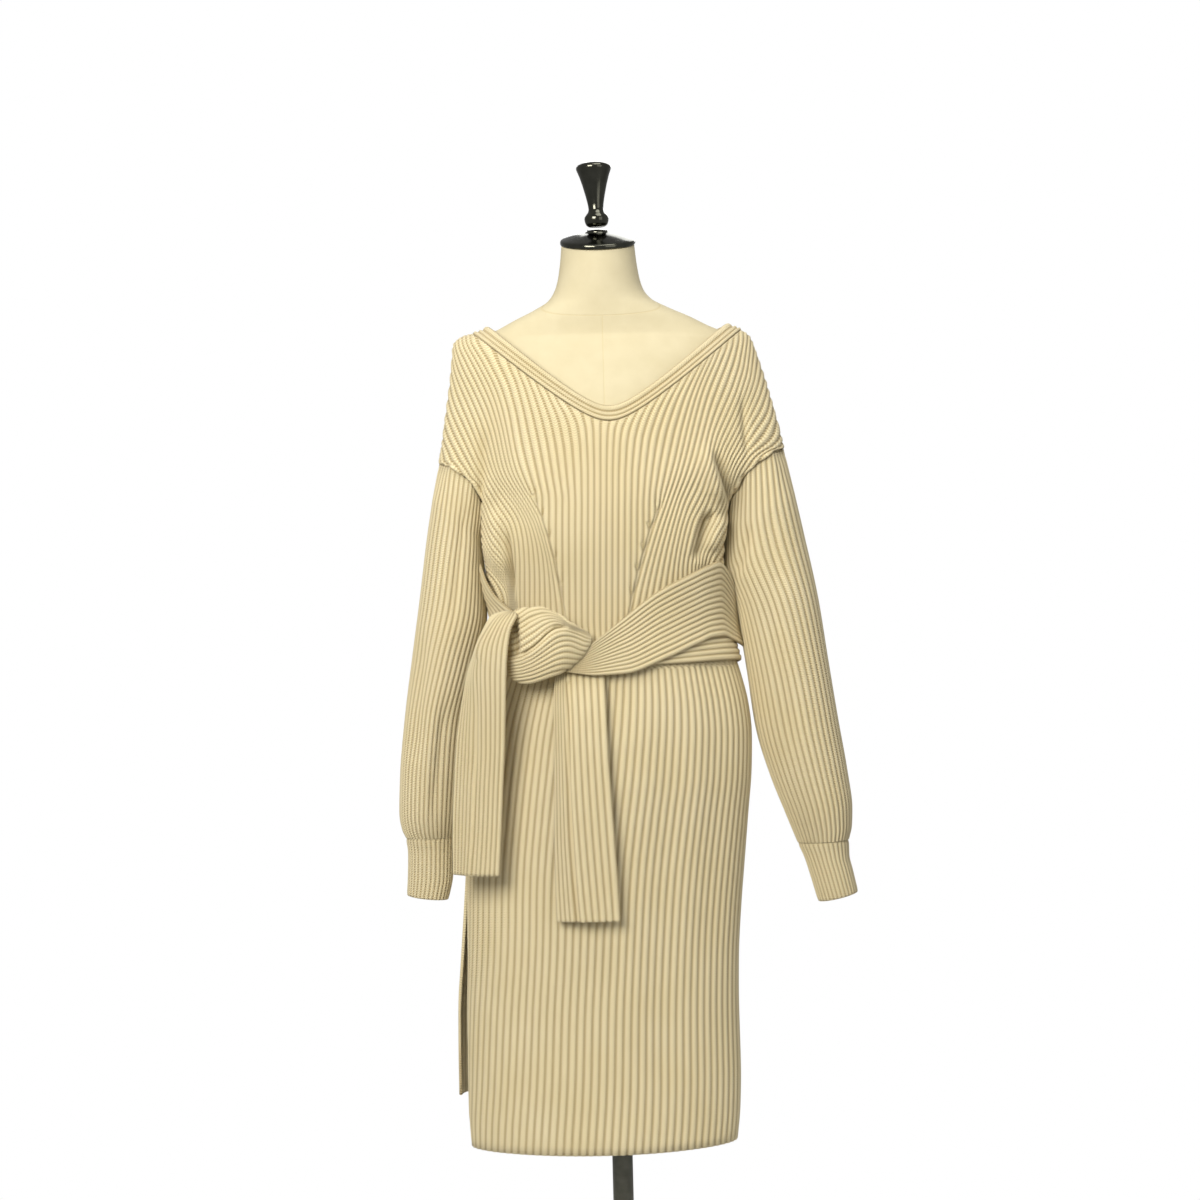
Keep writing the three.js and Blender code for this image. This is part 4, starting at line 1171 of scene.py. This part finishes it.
# The knot's furrows run sideways, so their readings are steps down and then steps across.
KNOT_RIBS = RibChart(pitch=4.8, lines=(
    (-6, ((622, 512), (619, 520), (613, 528), (610.5, 535), (609.5, 542), (611, 550), (615, 557), (620, 563), (626, 568),
          (629, 580), (635, 595))),
    (-3, ((640, 512), (635, 520), (629, 528), (625, 535), (621, 542), (618.5, 550), (619, 557), (622, 563),
          (626.4, 568), (630, 580), (636, 595))),
    (0, ((657, 512), (654, 522), (648, 532), (641, 540), (633.5, 547), (627.5, 556), (626.8, 566), (631, 578),
         (637, 592))),
    (2, ((663, 512), (661, 522), (656, 532), (650, 540), (644, 548), (638, 556), (635.5, 564), (637, 574), (642, 586))),
    (4, ((669, 512), (668, 522), (663.5, 532), (659, 540), (654, 548), (649, 556), (646, 564), (646, 572), (651, 581))),
    (6, ((675, 512), (674, 522), (671.5, 532), (668, 540), (664, 548), (660, 556), (658, 564), (659, 572))),
    (8, ((681, 512), (680.5, 522), (679, 532), (676.5, 540), (673.5, 548), (671, 556), (669, 564), (669, 572))),
))


@dataclass
class Knot:
    """The knot: the tie's end rolled over itself in two leaves, with ribs that climb round it."""

    sections: Table = field(default_factory=lambda: Table("x top bottom back front", [
        [-141, 960, 900, -96, -122],
        [-134, 974.6, 886, -95, -136],
        [-122, 980.8, 881, -97, -143],
        [-108, 982, 880, -101, -147],
        [-94, 982, 883, -105, -149],
        [-80, 978, 888, -108, -149],
        [-66, 970, 894, -110.5, -146],
        [-52, 960, 902, -112.4, -139],
        [-38, 951, 914, -115.4, -132],
        [-26, 944, 929, -116.4, -126],
    ]))
    columns: int = 208
    folds: tuple[Fold, ...] = (
        Fold(((519, 656), (532, 648), (540, 641), (547, 633), (556, 627), (568, 626)), 7, 3.4, 1.6, 0.12),
        Fold(((524, 658), (536, 650), (545, 641), (553, 634), (564, 631), (578, 636)), -3, 5, 5, 0.2),
        Fold(((521, 630), (528, 621), (538, 615), (550, 614)), 3, 3, 3, 0.2),
        Fold(((510, 618), (513, 632), (514, 646), (512, 662)), 13, 5, 5, 0.2),
    )

    def build(self) -> bpy.types.Object:
        """The knot as a closed solid."""
        angle = 2 * np.pi * np.arange(self.columns) / self.columns
        at = np.linspace(0, self.sections.last, 120)
        row = {k: v[:, None] for k, v in self.sections.read(at).items()}
        middle_y, middle_z = (row["back"] + row["front"]) / 2, (row["top"] + row["bottom"]) / 2
        plain = np.stack([
            row["x"] + 0 * angle,
            middle_y + (row["back"] - row["front"]) / 2 * np.cos(angle),
            middle_z + (row["top"] - row["bottom"]) / 2 * np.sin(angle),
        ], -1)
        normal = surface_normals(plain, True, lambda p: p - p.mean(axis=1, keepdims=True))
        facing_viewer = np.clip(-normal[..., 1] * 2 + 0.6, 0, 1)
        push = sum(fold.push(plain) for fold in self.folds)
        plain = plain - normal * (push * facing_viewer)[..., None]
        normal = surface_normals(plain, True, lambda p: p - p.mean(axis=1, keepdims=True))
        across, down = VIEW.readings(plain)
        number = KNOT_RIBS.numbers(down, across, -99, 99)
        ends = ramp(0, 8, np.arange(len(at)))[:, None] * ramp(0, 8, len(at) - 1 - np.arange(len(at)))[:, None]
        outer = plain + normal * (1.5 * ribs(number) * ends)[..., None]
        pattern = np.stack([number, across * VIEW.step / STITCH_ROW], -1)
        uv = np.concatenate([pattern, pattern[:, :1]], 1)
        shell = Wall(outer, outer[:1], uv, uv[:1], True)
        corners, vertices = shell.numbers(outer, 0, 0)
        caps = []
        points, patterns = [outer.reshape(-1, 3)], [uv.reshape(-1, 2)]
        for ring, flip in ((0, False), (-1, True)):
            middle = corners.size + len(caps)
            points.append(outer[ring].mean(axis=0)[None])
            patterns.append(uv[ring].mean(axis=0)[None])
            vertices = np.append(vertices, outer.shape[0] * self.columns + len(caps))
            fan = np.stack([corners[ring, :-1], corners[ring, 1:], np.full(self.columns, middle)], -1)
            caps.append(fan[:, ::-1] if flip else fan)
        faces = [quads(corners), np.concatenate(caps)]
        return mesh_object("sash_knot_cloth", np.concatenate(points), faces, np.concatenate(patterns), vertices)


@dataclass
class DressForm:
    """The limbless form: hips, waist, bust, shoulders and neck in one smooth covered body."""

    rings: Table = field(default_factory=lambda: Table("height half front back tilt", [
        [760, 164, 104, 115, 0],
        [810, 168, 107, 118, 0],
        [860, 162, 102, 109, 0],
        [915, 143, 92, 94, 0],
        [960, 128, 85, 86, 0],
        [1010, 121, 82, 80, 0],
        [1060, 125, 88, 82, 0],
        [1110, 132, 100, 87, 0],
        [1165, 141, 109, 92, 0],
        [1210, 148, 106, 94, 0],
        [1250, 157, 97, 93, 0],
        [1290, 170, 84, 88, 0],
        [1320, 184, 68, 78, 0],
        [1338, 193, 54, 64, 0],
        [1350, 191, 46, 56, 0],
        [1360, 172.4, 42, 53, 0],
        [1370, 149, 42.5, 52.5, 0],
        [1384, 122, 44, 52, 0],
        [1397, 94, 45, 51, 0],
        [1410, 72, 46, 50, 0.05],
        [1424, 62, 47, 50, 0.1],
        [1440, 57, 48, 50, 0.15],
        [1466, 53, 49, 50, 0.25],
        [1487, 51, 49, 49, 0.3],
    ]))
    sides: int = 160
    row_step: float = 4.0

    def build(self) -> bpy.types.Object:
        """The form as a closed solid."""
        angle = 2 * np.pi * np.arange(self.sides) / self.sides
        at = np.linspace(0, self.rings.last, 230)
        row = {k: v[:, None] for k, v in self.rings.read(at).items()}
        depth = np.where(np.sin(angle) > 0, row["back"], row["front"])
        y = depth * np.sin(angle)
        shift = -3.5 * ramp(1380, 1424, row["height"])
        outer = np.stack([shift + row["half"] * np.cos(angle), y, row["height"] + row["tilt"] * y], -1)
        number = np.arange(self.sides + 1)[None, :] / self.sides + 0 * at[:, None]
        uv = np.stack([number, np.broadcast_to(at[:, None], number.shape)], -1)
        shell = Wall(outer, outer[:1], uv, uv[:1], True)
        corners, vertices = shell.numbers(outer, 0, 0)
        caps = []
        points, pattern = [outer.reshape(-1, 3)], [uv.reshape(-1, 2)]
        for ring, flip in ((0, False), (-1, True)):
            points.append(outer[ring].mean(axis=0)[None])
            pattern.append(uv[ring].mean(axis=0)[None])
            middle = corners.size + len(caps)
            vertices = np.append(vertices, outer.shape[0] * self.sides + len(caps))
            fan = np.stack([corners[ring, :-1], corners[ring, 1:], np.full(self.sides, middle)], -1)
            caps.append(fan[:, ::-1] if flip else fan)
        faces = [quads(corners), np.concatenate(caps)]
        return mesh_object("dress_form_cover", np.concatenate(points), faces, np.concatenate(pattern), vertices)


@dataclass
class Turned:
    """A turned metal piece: a ring drawn up through its profile, closed at both ends."""

    name: str
    profile: tuple[tuple[float, float], ...]
    foot: tuple[float, float, float] = (0.0, 0.0, 0.0)
    tilt: tuple[float, float, float] = (0.0, 0.0, 0.0)
    sides: int = 96
    bevel: float = 0.6

    def build(self) -> bpy.types.Object:
        """The turned piece, drawn up ring by ring from its underside."""
        bpy.ops.object.select_all(action="DESELECT")
        radius, height = self.profile[0]
        bpy.ops.mesh.primitive_circle_add(vertices=self.sides, radius=radius * MM, fill_type="NGON")
        piece = bpy.context.object
        piece.name = piece.data.name = self.name
        bpy.ops.object.mode_set(mode="EDIT")
        bpy.ops.mesh.select_all(action="SELECT")
        bpy.ops.transform.translate(value=(0, 0, height * MM))
        for next_radius, next_height in self.profile[1:]:
            bpy.ops.mesh.extrude_region_move(TRANSFORM_OT_translate={"value": (0, 0, (next_height - height) * MM)})
            grow = next_radius / radius
            bpy.ops.transform.resize(value=(grow, grow, 1), center_override=(0, 0, next_height * MM))
            radius, height = next_radius, next_height
        bpy.ops.mesh.select_all(action="SELECT")
        bpy.ops.mesh.normals_make_consistent(inside=False)
        bpy.ops.object.mode_set(mode="OBJECT")
        edges = piece.modifiers.new("edges", "BEVEL")
        edges.width, edges.segments, edges.limit_method, edges.angle_limit = self.bevel * MM, 2, "ANGLE", 0.6
        bpy.ops.object.modifier_apply(modifier=edges.name)
        bpy.ops.object.shade_smooth_by_angle(angle=math.radians(50))
        piece.rotation_euler = self.tilt
        piece.location = [size * MM for size in self.foot]
        bpy.ops.object.transform_apply(location=True, rotation=True, scale=True)
        return piece


def linear(value: str) -> tuple[float, float, float, float]:
    """An sRGB hex colour as linear RGBA."""
    channels = [int(value[i:i + 2], 16) / 255 for i in (0, 2, 4)]
    return (*(c / 12.92 if c <= 0.04045 else ((c + 0.055) / 1.055) ** 2.4 for c in channels), 1.0)


def add(tree: bpy.types.NodeTree, kind: str, sockets: dict | None = None, **settings: object) -> bpy.types.Node:
    """Adds a node with its settings and its links.

    Args:
        tree: The material's node tree.
        kind: The node's type.
        sockets: For each input, the socket that feeds it or its own value.
        **settings: The node's own properties.

    Returns:
        The new node.
    """
    node = tree.nodes.new(kind)
    for key, value in settings.items():
        setattr(node, key, value)
    for key, value in (sockets or {}).items():
        if isinstance(value, bpy.types.NodeSocket):
            tree.links.new(value, node.inputs[key])
        else:
            node.inputs[key].default_value = value
    return node


def new_material(name: str) -> bpy.types.Material:
    """An empty material with nodes."""
    material = bpy.data.materials.new(name)
    material.use_nodes = True
    material.node_tree.nodes.clear()
    return material


@dataclass(frozen=True)
class RibKnitWool:
    """Lambswool, knitted in a rib: matte and a little fuzzy, with plaited stitches on the crests of the ribs and
    ladders in the furrows between them. The colour holds painted shade: it darkens towards the furrow colour where the
    knit lies low, most in the furrows and a little between the stitches. The pattern's own UV counts ribs across and
    stitch rows along."""

    name: str = "lambswool_rib_knit"
    crest: str = "F6EBC8"
    # Painted shade: the dark colour laid into the furrows and between the stitches, where the knit lies low.
    furrow: str = "B09A6C"
    shade: str = "E9DBAE"
    roughness: float = 0.92
    stitch_depth: float = 1.0

    def material(self) -> bpy.types.Material:
        """The finish as a node material."""
        material = new_material(self.name)
        tree = material.node_tree
        place = add(tree, "ShaderNodeTexCoord")
        uv = add(tree, "ShaderNodeSeparateXYZ", {0: place.outputs["UV"]})
        in_rib = add(tree, "ShaderNodeMath", {0: uv.outputs[0]}, operation="FRACT")
        offset = add(tree, "ShaderNodeMath", {0: in_rib.outputs[0], 1: 0.5}, operation="SUBTRACT")
        aside = add(tree, "ShaderNodeMath", {0: offset.outputs[0]}, operation="ABSOLUTE")
        crest = add(tree, "ShaderNodeMapRange", {0: aside.outputs[0], 1: 0.40, 2: 0.26}, interpolation_type="SMOOTHSTEP")
        slant = add(tree, "ShaderNodeMath", {0: aside.outputs[0], 1: 2.2, 2: uv.outputs[1]}, operation="MULTIPLY_ADD")
        turns = add(tree, "ShaderNodeMath", {0: slant.outputs[0], 1: 2 * math.pi}, operation="MULTIPLY")
        stitch = add(tree, "ShaderNodeMath", {0: turns.outputs[0]}, operation="SINE")
        bars = add(tree, "ShaderNodeMath", {0: uv.outputs[1], 1: 2 * math.pi}, operation="MULTIPLY")
        ladder = add(tree, "ShaderNodeMath", {0: bars.outputs[0]}, operation="SINE")
        stitched = add(tree, "ShaderNodeMath", {0: stitch.outputs[0], 1: 0.26, 2: 0.74}, operation="MULTIPLY_ADD")
        laddered = add(tree, "ShaderNodeMath", {0: ladder.outputs[0], 1: 0.4, 2: 0.22}, operation="MULTIPLY_ADD")
        fuzz = add(tree, "ShaderNodeTexNoise", {"Vector": place.outputs["Object"], "Scale": 900.0, "Detail": 3.0})
        relief = add(tree, "ShaderNodeMix", {0: crest.outputs[0], 2: laddered.outputs[0], 3: stitched.outputs[0]})
        height = add(tree, "ShaderNodeMath", {0: fuzz.outputs["Fac"], 1: 0.35, 2: relief.outputs[0]}, operation="MULTIPLY_ADD")
        bump = add(tree, "ShaderNodeBump", {"Strength": 1.0, "Distance": 0.0014, "Height": height.outputs[0]})
        dye = add(tree, "ShaderNodeTexNoise", {"Vector": place.outputs["Object"], "Scale": 14.0, "Detail": 2.0})
        wool = add(tree, "ShaderNodeMix", {0: dye.outputs["Fac"], 6: linear(self.shade), 7: linear(self.crest)}, data_type="RGBA")
        # Painted shade: where the relief is low, the wool is mixed towards the furrow colour, as the shade in the
        # furrows and between the stitches.
        colour = add(tree, "ShaderNodeMix", {0: relief.outputs[0], 6: linear(self.furrow), 7: wool.outputs[2]}, data_type="RGBA")
        surface = add(tree, "ShaderNodeBsdfPrincipled", {
            "Base Color": colour.outputs[2], "Roughness": self.roughness, "Specular IOR Level": 0.25,
            "Sheen Weight": 0.35, "Sheen Roughness": 0.6, "Sheen Tint": linear("FFF4DC"), "Normal": bump.outputs[0],
        })
        add(tree, "ShaderNodeOutputMaterial", {0: surface.outputs[0]})
        return material


@dataclass(frozen=True)
class LinenCover:
    """Fine plain-woven linen over the form, faintly slubbed, with pressed seams down the front and round the neck."""

    name: str = "plain_woven_linen"
    light: str = "D6CCAD"
    shade: str = "CABF9D"
    seam: str = "C9BA92"

    def material(self) -> bpy.types.Material:
        """The finish as a node material."""
        material = new_material(self.name)
        tree = material.node_tree
        place = add(tree, "ShaderNodeTexCoord")
        at = add(tree, "ShaderNodeSeparateXYZ", {0: place.outputs["Object"]})
        warp = add(tree, "ShaderNodeTexWave", {"Vector": place.outputs["Object"], "Scale": 260.0, "Distortion": 1.0}, bands_direction="X")
        weft = add(tree, "ShaderNodeTexWave", {"Vector": place.outputs["Object"], "Scale": 260.0, "Distortion": 1.0}, bands_direction="Z")
        weave = add(tree, "ShaderNodeMath", {0: warp.outputs["Fac"], 1: weft.outputs["Fac"]}, operation="ADD")
        slub = add(tree, "ShaderNodeTexNoise", {"Vector": place.outputs["Object"], "Scale": 40.0, "Detail": 4.0})
        tilt = add(tree, "ShaderNodeMath", {0: at.outputs[1], 1: -0.62, 2: at.outputs[2]}, operation="MULTIPLY_ADD")
        ring = add(tree, "ShaderNodeMath", {0: tilt.outputs[0], 1: 1.4105}, operation="SUBTRACT")
        ring_off = add(tree, "ShaderNodeMath", {0: ring.outputs[0]}, operation="ABSOLUTE")
        front = add(tree, "ShaderNodeMath", {0: at.outputs[0]}, operation="ABSOLUTE")
        below = add(tree, "ShaderNodeMath", {0: ring.outputs[0], 1: 0.0}, operation="GREATER_THAN")
        above = add(tree, "ShaderNodeMath", {0: below.outputs[0], 1: 0.1, 2: front.outputs[0]}, operation="MULTIPLY_ADD")
        nearest = add(tree, "ShaderNodeMath", {0: above.outputs[0], 1: ring_off.outputs[0]}, operation="MINIMUM")
        seam = add(tree, "ShaderNodeMapRange", {0: nearest.outputs[0], 1: 0.0011, 2: 0.0003}, interpolation_type="SMOOTHSTEP")
        cloth = add(tree, "ShaderNodeMix", {0: slub.outputs["Fac"], 6: linear(self.shade), 7: linear(self.light)}, data_type="RGBA")
        part = add(tree, "ShaderNodeMath", {0: seam.outputs[0], 1: 0.55}, operation="MULTIPLY")
        colour = add(tree, "ShaderNodeMix", {0: part.outputs[0], 6: cloth.outputs[2], 7: linear(self.seam)}, data_type="RGBA")
        height = add(tree, "ShaderNodeMath", {0: seam.outputs[0], 1: -4.0, 2: weave.outputs[0]}, operation="MULTIPLY_ADD")
        bump = add(tree, "ShaderNodeBump", {"Strength": 0.25, "Distance": 0.0003, "Height": height.outputs[0]})
        surface = add(tree, "ShaderNodeBsdfPrincipled", {
            "Base Color": colour.outputs[2], "Roughness": 0.85, "Specular IOR Level": 0.3, "Normal": bump.outputs[0],
        })
        add(tree, "ShaderNodeOutputMaterial", {0: surface.outputs[0]})
        return material


@dataclass(frozen=True)
class PlatedMetal:
    """Steel, turned and plated: a dark mirror with faint turning lines, or a duller brushed grey with fine grit."""

    name: str
    colour: str
    dark: str
    roughness: float
    line_scale: float
    line_depth: float

    def material(self) -> bpy.types.Material:
        """The finish as a node material."""
        material = new_material(self.name)
        tree = material.node_tree
        place = add(tree, "ShaderNodeTexCoord")
        lines = add(tree, "ShaderNodeTexWave", {
            "Vector": place.outputs["Object"], "Scale": self.line_scale, "Distortion": 0.4,
        }, bands_direction="Z")
        smudge = add(tree, "ShaderNodeTexNoise", {"Vector": place.outputs["Object"], "Scale": 60.0, "Detail": 4.0})
        colour = add(tree, "ShaderNodeMix", {0: smudge.outputs["Fac"], 6: linear(self.dark), 7: linear(self.colour)}, data_type="RGBA")
        rough = add(tree, "ShaderNodeMapRange", {0: smudge.outputs["Fac"], 3: self.roughness * 0.7, 4: self.roughness * 1.4})
        bump = add(tree, "ShaderNodeBump", {"Strength": self.line_depth, "Distance": 0.0002, "Height": lines.outputs["Fac"]})
        surface = add(tree, "ShaderNodeBsdfPrincipled", {
            "Base Color": colour.outputs[2], "Metallic": 1.0, "Roughness": rough.outputs[0], "Normal": bump.outputs[0],
        })
        add(tree, "ShaderNodeOutputMaterial", {0: surface.outputs[0]})
        return material


@dataclass(frozen=True)
class PaintedFloor:
    """Smooth matte white paint, rolled on, for the studio floor: even, with no gloss."""

    name: str = "matte_white_paint"
    colour: str = "FAFAF8"

    def material(self) -> bpy.types.Material:
        """The finish as a node material."""
        material = new_material(self.name)
        tree = material.node_tree
        surface = add(tree, "ShaderNodeBsdfPrincipled", {"Base Color": linear(self.colour), "Roughness": 0.9})
        add(tree, "ShaderNodeOutputMaterial", {0: surface.outputs[0]})
        return material


@dataclass
class Studio:
    """The pale floor, the soft lights and the camera at the photograph's place."""

    camera_place: tuple[float, float, float] = (-12.5, -3400.0, 990.0)
    roll: float = 1.4
    lens: float = 72.86
    sensor: float = 36.0

    def camera(self) -> None:
        """Stands the camera level with the waist, turned a little about its own axis."""
        data = bpy.data.cameras.new("camera")
        data.lens, data.sensor_width, data.sensor_height = self.lens, self.sensor, self.sensor
        data.clip_end = 60.0
        camera = bpy.data.objects.new("camera", data)
        camera.location = [size * MM for size in self.camera_place]
        camera.rotation_euler = (math.pi / 2, math.radians(self.roll), 0)
        bpy.context.scene.collection.objects.link(camera)
        bpy.context.scene.camera = camera

    def lamp(self, name: str, place: tuple[float, float, float], size: float, power: float, colour: str) -> None:
        """A soft square lamp.

        Args:
            name: The lamp's name.
            place: Where it hangs, in metres. It points at the bust.
            size: Its side, in metres.
            power: Watts.
            colour: sRGB hex.
        """
        data = bpy.data.lights.new(name, "AREA")
        data.size, data.energy, data.color = size, power, linear(colour)[:3]
        lamp = bpy.data.objects.new(name, data)
        lamp.location = place
        aim = Matrix.Translation((0, 0, 1.1)).translation - lamp.location
        lamp.rotation_euler = aim.to_track_quat("-Z", "Y").to_euler()
        bpy.context.scene.collection.objects.link(lamp)

    def lights(self) -> None:
        """A large soft key from the upper left, a weak fill and a pale room."""
        self.lamp("key", (-1.0, -2.2, 1.95), 1.2, 66.0, "FFFBF2")
        self.lamp("fill", (1.8, -2.2, 1.5), 1.6, 9.0, "FBF8F2")
        self.lamp("top", (0.5, -0.8, 3.2), 1.2, 18.0, "FFFDF8")
        self.lamp("rim", (0.6, 2.4, 2.8), 1.8, 30.0, "FFFFFF")
        world = bpy.data.worlds.new("pale_room")
        bpy.context.scene.world = world
        world.use_nodes = True
        tree = world.node_tree
        tree.nodes.clear()
        path = add(tree, "ShaderNodeLightPath")
        room = add(tree, "ShaderNodeBackground", {0: linear("FFFFFF"), 1: 0.3})
        view = add(tree, "ShaderNodeBackground", {0: linear("FFFFFF"), 1: 1.0})
        both = add(tree, "ShaderNodeMixShader", {0: path.outputs["Is Camera Ray"], 1: room.outputs[0], 2: view.outputs[0]})
        add(tree, "ShaderNodeOutputWorld", {0: both.outputs[0]})

    def floor(self) -> None:
        """A round pale floor."""
        bpy.ops.object.select_all(action="DESELECT")
        bpy.ops.mesh.primitive_circle_add(vertices=96, radius=0.58, fill_type="NGON", location=(0, 0, -0.0005))
        floor = bpy.context.object
        floor.name = "studio_floor"
        floor.data.materials.append(PaintedFloor().material())

    def build(self) -> None:
        """Sets up the whole studio, and shows colours as they are."""
        bpy.context.scene.view_settings.view_transform = "Standard"
        self.camera()
        self.lights()
        self.floor()


DRESS = ("dress_front", "dress_back")


@dataclass
class Garment:
    """The dress and its tie, piece by piece."""

    wool: bpy.types.Material

    def finish(self, piece: bpy.types.Object, node: str) -> None:
        """Dresses a piece and puts it in the place of its CAD node.

        Args:
            piece: The piece.
            node: The CAD node it stands for.
        """
        piece.data.materials.append(self.wool)
        place_piece(piece, node)

    def build(self) -> None:
        """Makes every piece of cloth."""
        front = DressPanel(
            "dress_front_cloth", Facing.FRONT,
            chart=FRONT_RIBS,
            skirt_ribs=(48, 41), skirt_right=24, hem_at=HEM,
            folds=(
                Fold(((496, 464), (491, 480), (489, 496), (488, 510), (488, 538), (491, 556), (499, 578)), -8, 6, 9),
                Fold(((494, 500), (496, 520), (498, 540), (502, 560), (507, 580)), -9, 7, 7),
                Fold(((507, 526), (508, 540), (509.5, 554), (511, 568), (512.5, 582), (515, 602)), 13, 2.6, 3.4, 0.3),
                Fold(((485, 425), (482, 460), (480, 492), (479, 515)), 8, 6, 6),
                Fold(((704, 440), (708, 462), (714, 480), (718, 495), (712, 506)), -9, 9, 5),
                Fold(((713, 448), (721, 472), (728, 492), (731, 510)), 12, 3, 6),
                Fold(((716, 509), (706, 520), (702, 534), (699, 546), (694, 562)), 14, 3.6, 5, 0.2),
                Fold(((724, 512), (719, 528), (712, 542), (706, 553)), -9, 6, 6),
                Fold(((742, 392), (744, 425), (748, 462)), 6, 3.5, 4),
            ),
        )
        back = DressPanel(
            "dress_back_cloth", Facing.BACK,
            chart=BACK_RIBS,
            skirt_ribs=(46, 44), skirt_right=23, hem_at=hem_at_height(BACK_HEM_HEIGHT),
        )
        form = ("form_torso",)
        self.sheet(front.build(), "dress_front", (0.6, 1.15), "draped", form, area=0.52)
        self.sheet(back.build(), "dress_back", (0.6, 1.1), "draped", form, area=0.5)
        self.sheet(Neckband(front, back).build(), "neckband", (0.84, 0.027), "draped", form)
        sleeve_left = Sleeve(Side.LEFT, folds=(
            Fold(((466, 490), (462, 530), (456, 580), (450, 640)), 5, 6, 6),
            Fold(((446, 690), (440, 750), (434, 800), (432, 840)), 6, 6, 6),
            Fold(((424, 620), (418, 700), (414, 780)), 4, 7, 7),
        ))
        sleeve_right = Sleeve(Side.RIGHT, folds=(
            Fold(((750, 520), (746, 545), (740, 565), (736, 580)), 7, 5, 5),
            Fold(((762, 560), (776, 640), (790, 720), (800, 780)), 5, 8, 8),
            Fold(((766, 500), (772, 540), (786, 600)), 4, 7, 7),
        ))
        for sleeve in (sleeve_left, sleeve_right):
            side = sleeve.side.value
            self.sheet(sleeve.build(), f"sleeve_{side}", (0.38, 0.53), "hung", DRESS, area=0.172)
            self.sheet(Cuff(sleeve.side).build(), f"cuff_{side}", (0.2, 0.085), "hung", (f"sleeve_{side}",))
        knot = Knot().build()
        self.finish(knot, "sash_knot")
        stretches = (
            ("sash_upper", TIE_UPPER, 13, 150, (0.088, 0.3), (knot,)),
            ("sash_back", TIE_BACK, 9, 130, (0.075, 0.46), ()),
            ("sash_left", TIE_LEFT, 7, 60, (0.088, 0.1), ()),
            ("sash_lower", TIE_LOWER, 6, 220, (0.055, 0.76), ()),
        )
        for name, table, count, rows, flat, pieces in stretches:
            strip = Strip(f"{name}_cloth", table, count, rows, waist_place, from_the_waist)
            self.sheet(strip.build(), name, flat, "stretched", DRESS, with_pieces=pieces)
        left_fold = Fold(((478, 655), (477, 720), (476, 790), (473, 885)), 4, 2.4, 2.4, 0.03)
        centre_fold = Fold(((568, 680), (569, 790), (577, 925)), 6, 2, 2.8, 0.02)
        ends = (
            ("sash_tail_left", TAIL_LEFT, 12, left_fold, (0.09, 0.37)),
            ("sash_tail_centre", TAIL_CENTRE, 11, centre_fold, (0.088, 0.34)),
        )
        for name, table, count, fold, flat in ends:
            strip = Strip(f"{name}_cloth", table, count, 120, tail_place, to_the_front, folds=(fold,))
            self.sheet(strip.build(), name, flat, "hung", ("sash_knot",))

    def sheet(
        self,
        piece: bpy.types.Object,
        node: str,
        flat: tuple[float, float],
        held: str,
        rests_on: Sequence[str],
        area: float | None = None,
        with_pieces: Sequence[bpy.types.Object] = (),
    ) -> None:
        """Dresses a sheet of cloth and states how it was cut.

        Args:
            piece: The sheet.
            node: The CAD node it stands for.
            flat: Its cut width and length, in metres.
            held: How it is held. Not used.
            rests_on: What it lies on or hangs from. Not used.
            area: Its cut area in square metres, where it isn't a rectangle. Not used.
            with_pieces: Separate pieces on it. Not used.
        """
        self.finish(piece, node)
        half = sum(face.area for face in piece.data.polygons) / 2
        LOG.info("%s: %.4f square metres of cloth, cut to %.3f by %.3f metres", piece.name, half, *flat)


def place_piece(piece: bpy.types.Object, node: str) -> None:
    """Puts a finished piece in the place of its CAD node and logs it.

    Args:
        piece: The finished piece.
        node: The CAD node it stands for.
    """
    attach(piece, BODY)
    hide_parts(node)
    triangles = sum(len(face.vertices) - 2 for face in piece.data.polygons)
    LOG.info("%s: %d triangles", piece.name, triangles)


def main() -> None:
    """Builds the dress, its form and stand, and the studio."""
    Studio().build()
    wool = RibKnitWool().material()
    linen = LinenCover().material()
    chrome = PlatedMetal("dark_chrome_plate", "6A6A60", "3A3A34", 0.12, 300.0, 0.05).material()
    steel = PlatedMetal("brushed_grey_steel", "6B6B62", "45453F", 0.32, 900.0, 0.15).material()
    form = DressForm().build()
    form.data.materials.append(linen)
    place_piece(form, "form_torso")
    cap = Turned("turned_neck_cap", (
        (51.2, 0), (52, 0.8), (52.6, 2), (52.6, 4.5), (52, 6.5), (50, 7.8), (47, 9), (41, 11.2), (34, 13.5), (27, 15.4),
        (20, 17), (16.5, 17.6), (15, 18.4), (14.2, 19.8), (14, 21),
    ), (-3.5, 0, 1487.4), (math.atan(0.3), 0, 0))
    knob = Turned("turned_finial", (
        (11, 0), (12, 0.4), (13.6, 1.5), (15, 3), (16.5, 7), (17, 11), (16.6, 13.5), (14, 17), (11.6, 20), (10.5, 23),
        (10.4, 26), (11, 31), (12.1, 37), (13.5, 43.5), (17, 58), (20.5, 70), (23.5, 78), (24.4, 80.4), (24.6, 82),
        (24.2, 83.8), (22.4, 85.9), (18, 88), (13.5, 89.5), (9, 90.4), (4, 90.9), (0.8, 91),
    ), (-4, -6, 1511.6), (0, -0.035, 0))
    pole = Turned("steel_pole", ((13.8, 12.3), (14.3, 12.9), (14.3, 300), (14.3, 759.1), (13.8, 759.7)))
    base = Turned("steel_base", (
        (178, 0), (179.4, 0.5), (180, 2), (180, 8), (179.2, 10.2), (177.6, 11.5), (175.5, 12), (60, 12), (34, 12), (20, 12),
    ))
    for turned, node, metal, slot in (
        (cap, "neck_cap", chrome, "dark_chrome"),
        (knob, "finial", chrome, "dark_chrome"),
        (pole, "pole", steel, "stand_steel"),
        (base, "base", steel, "stand_steel"),
    ):
        piece = turned.build()
        piece.data.materials.append(metal)
        place_piece(piece, node)
    Garment(wool).build()


if __name__ == "__main__":
    main()
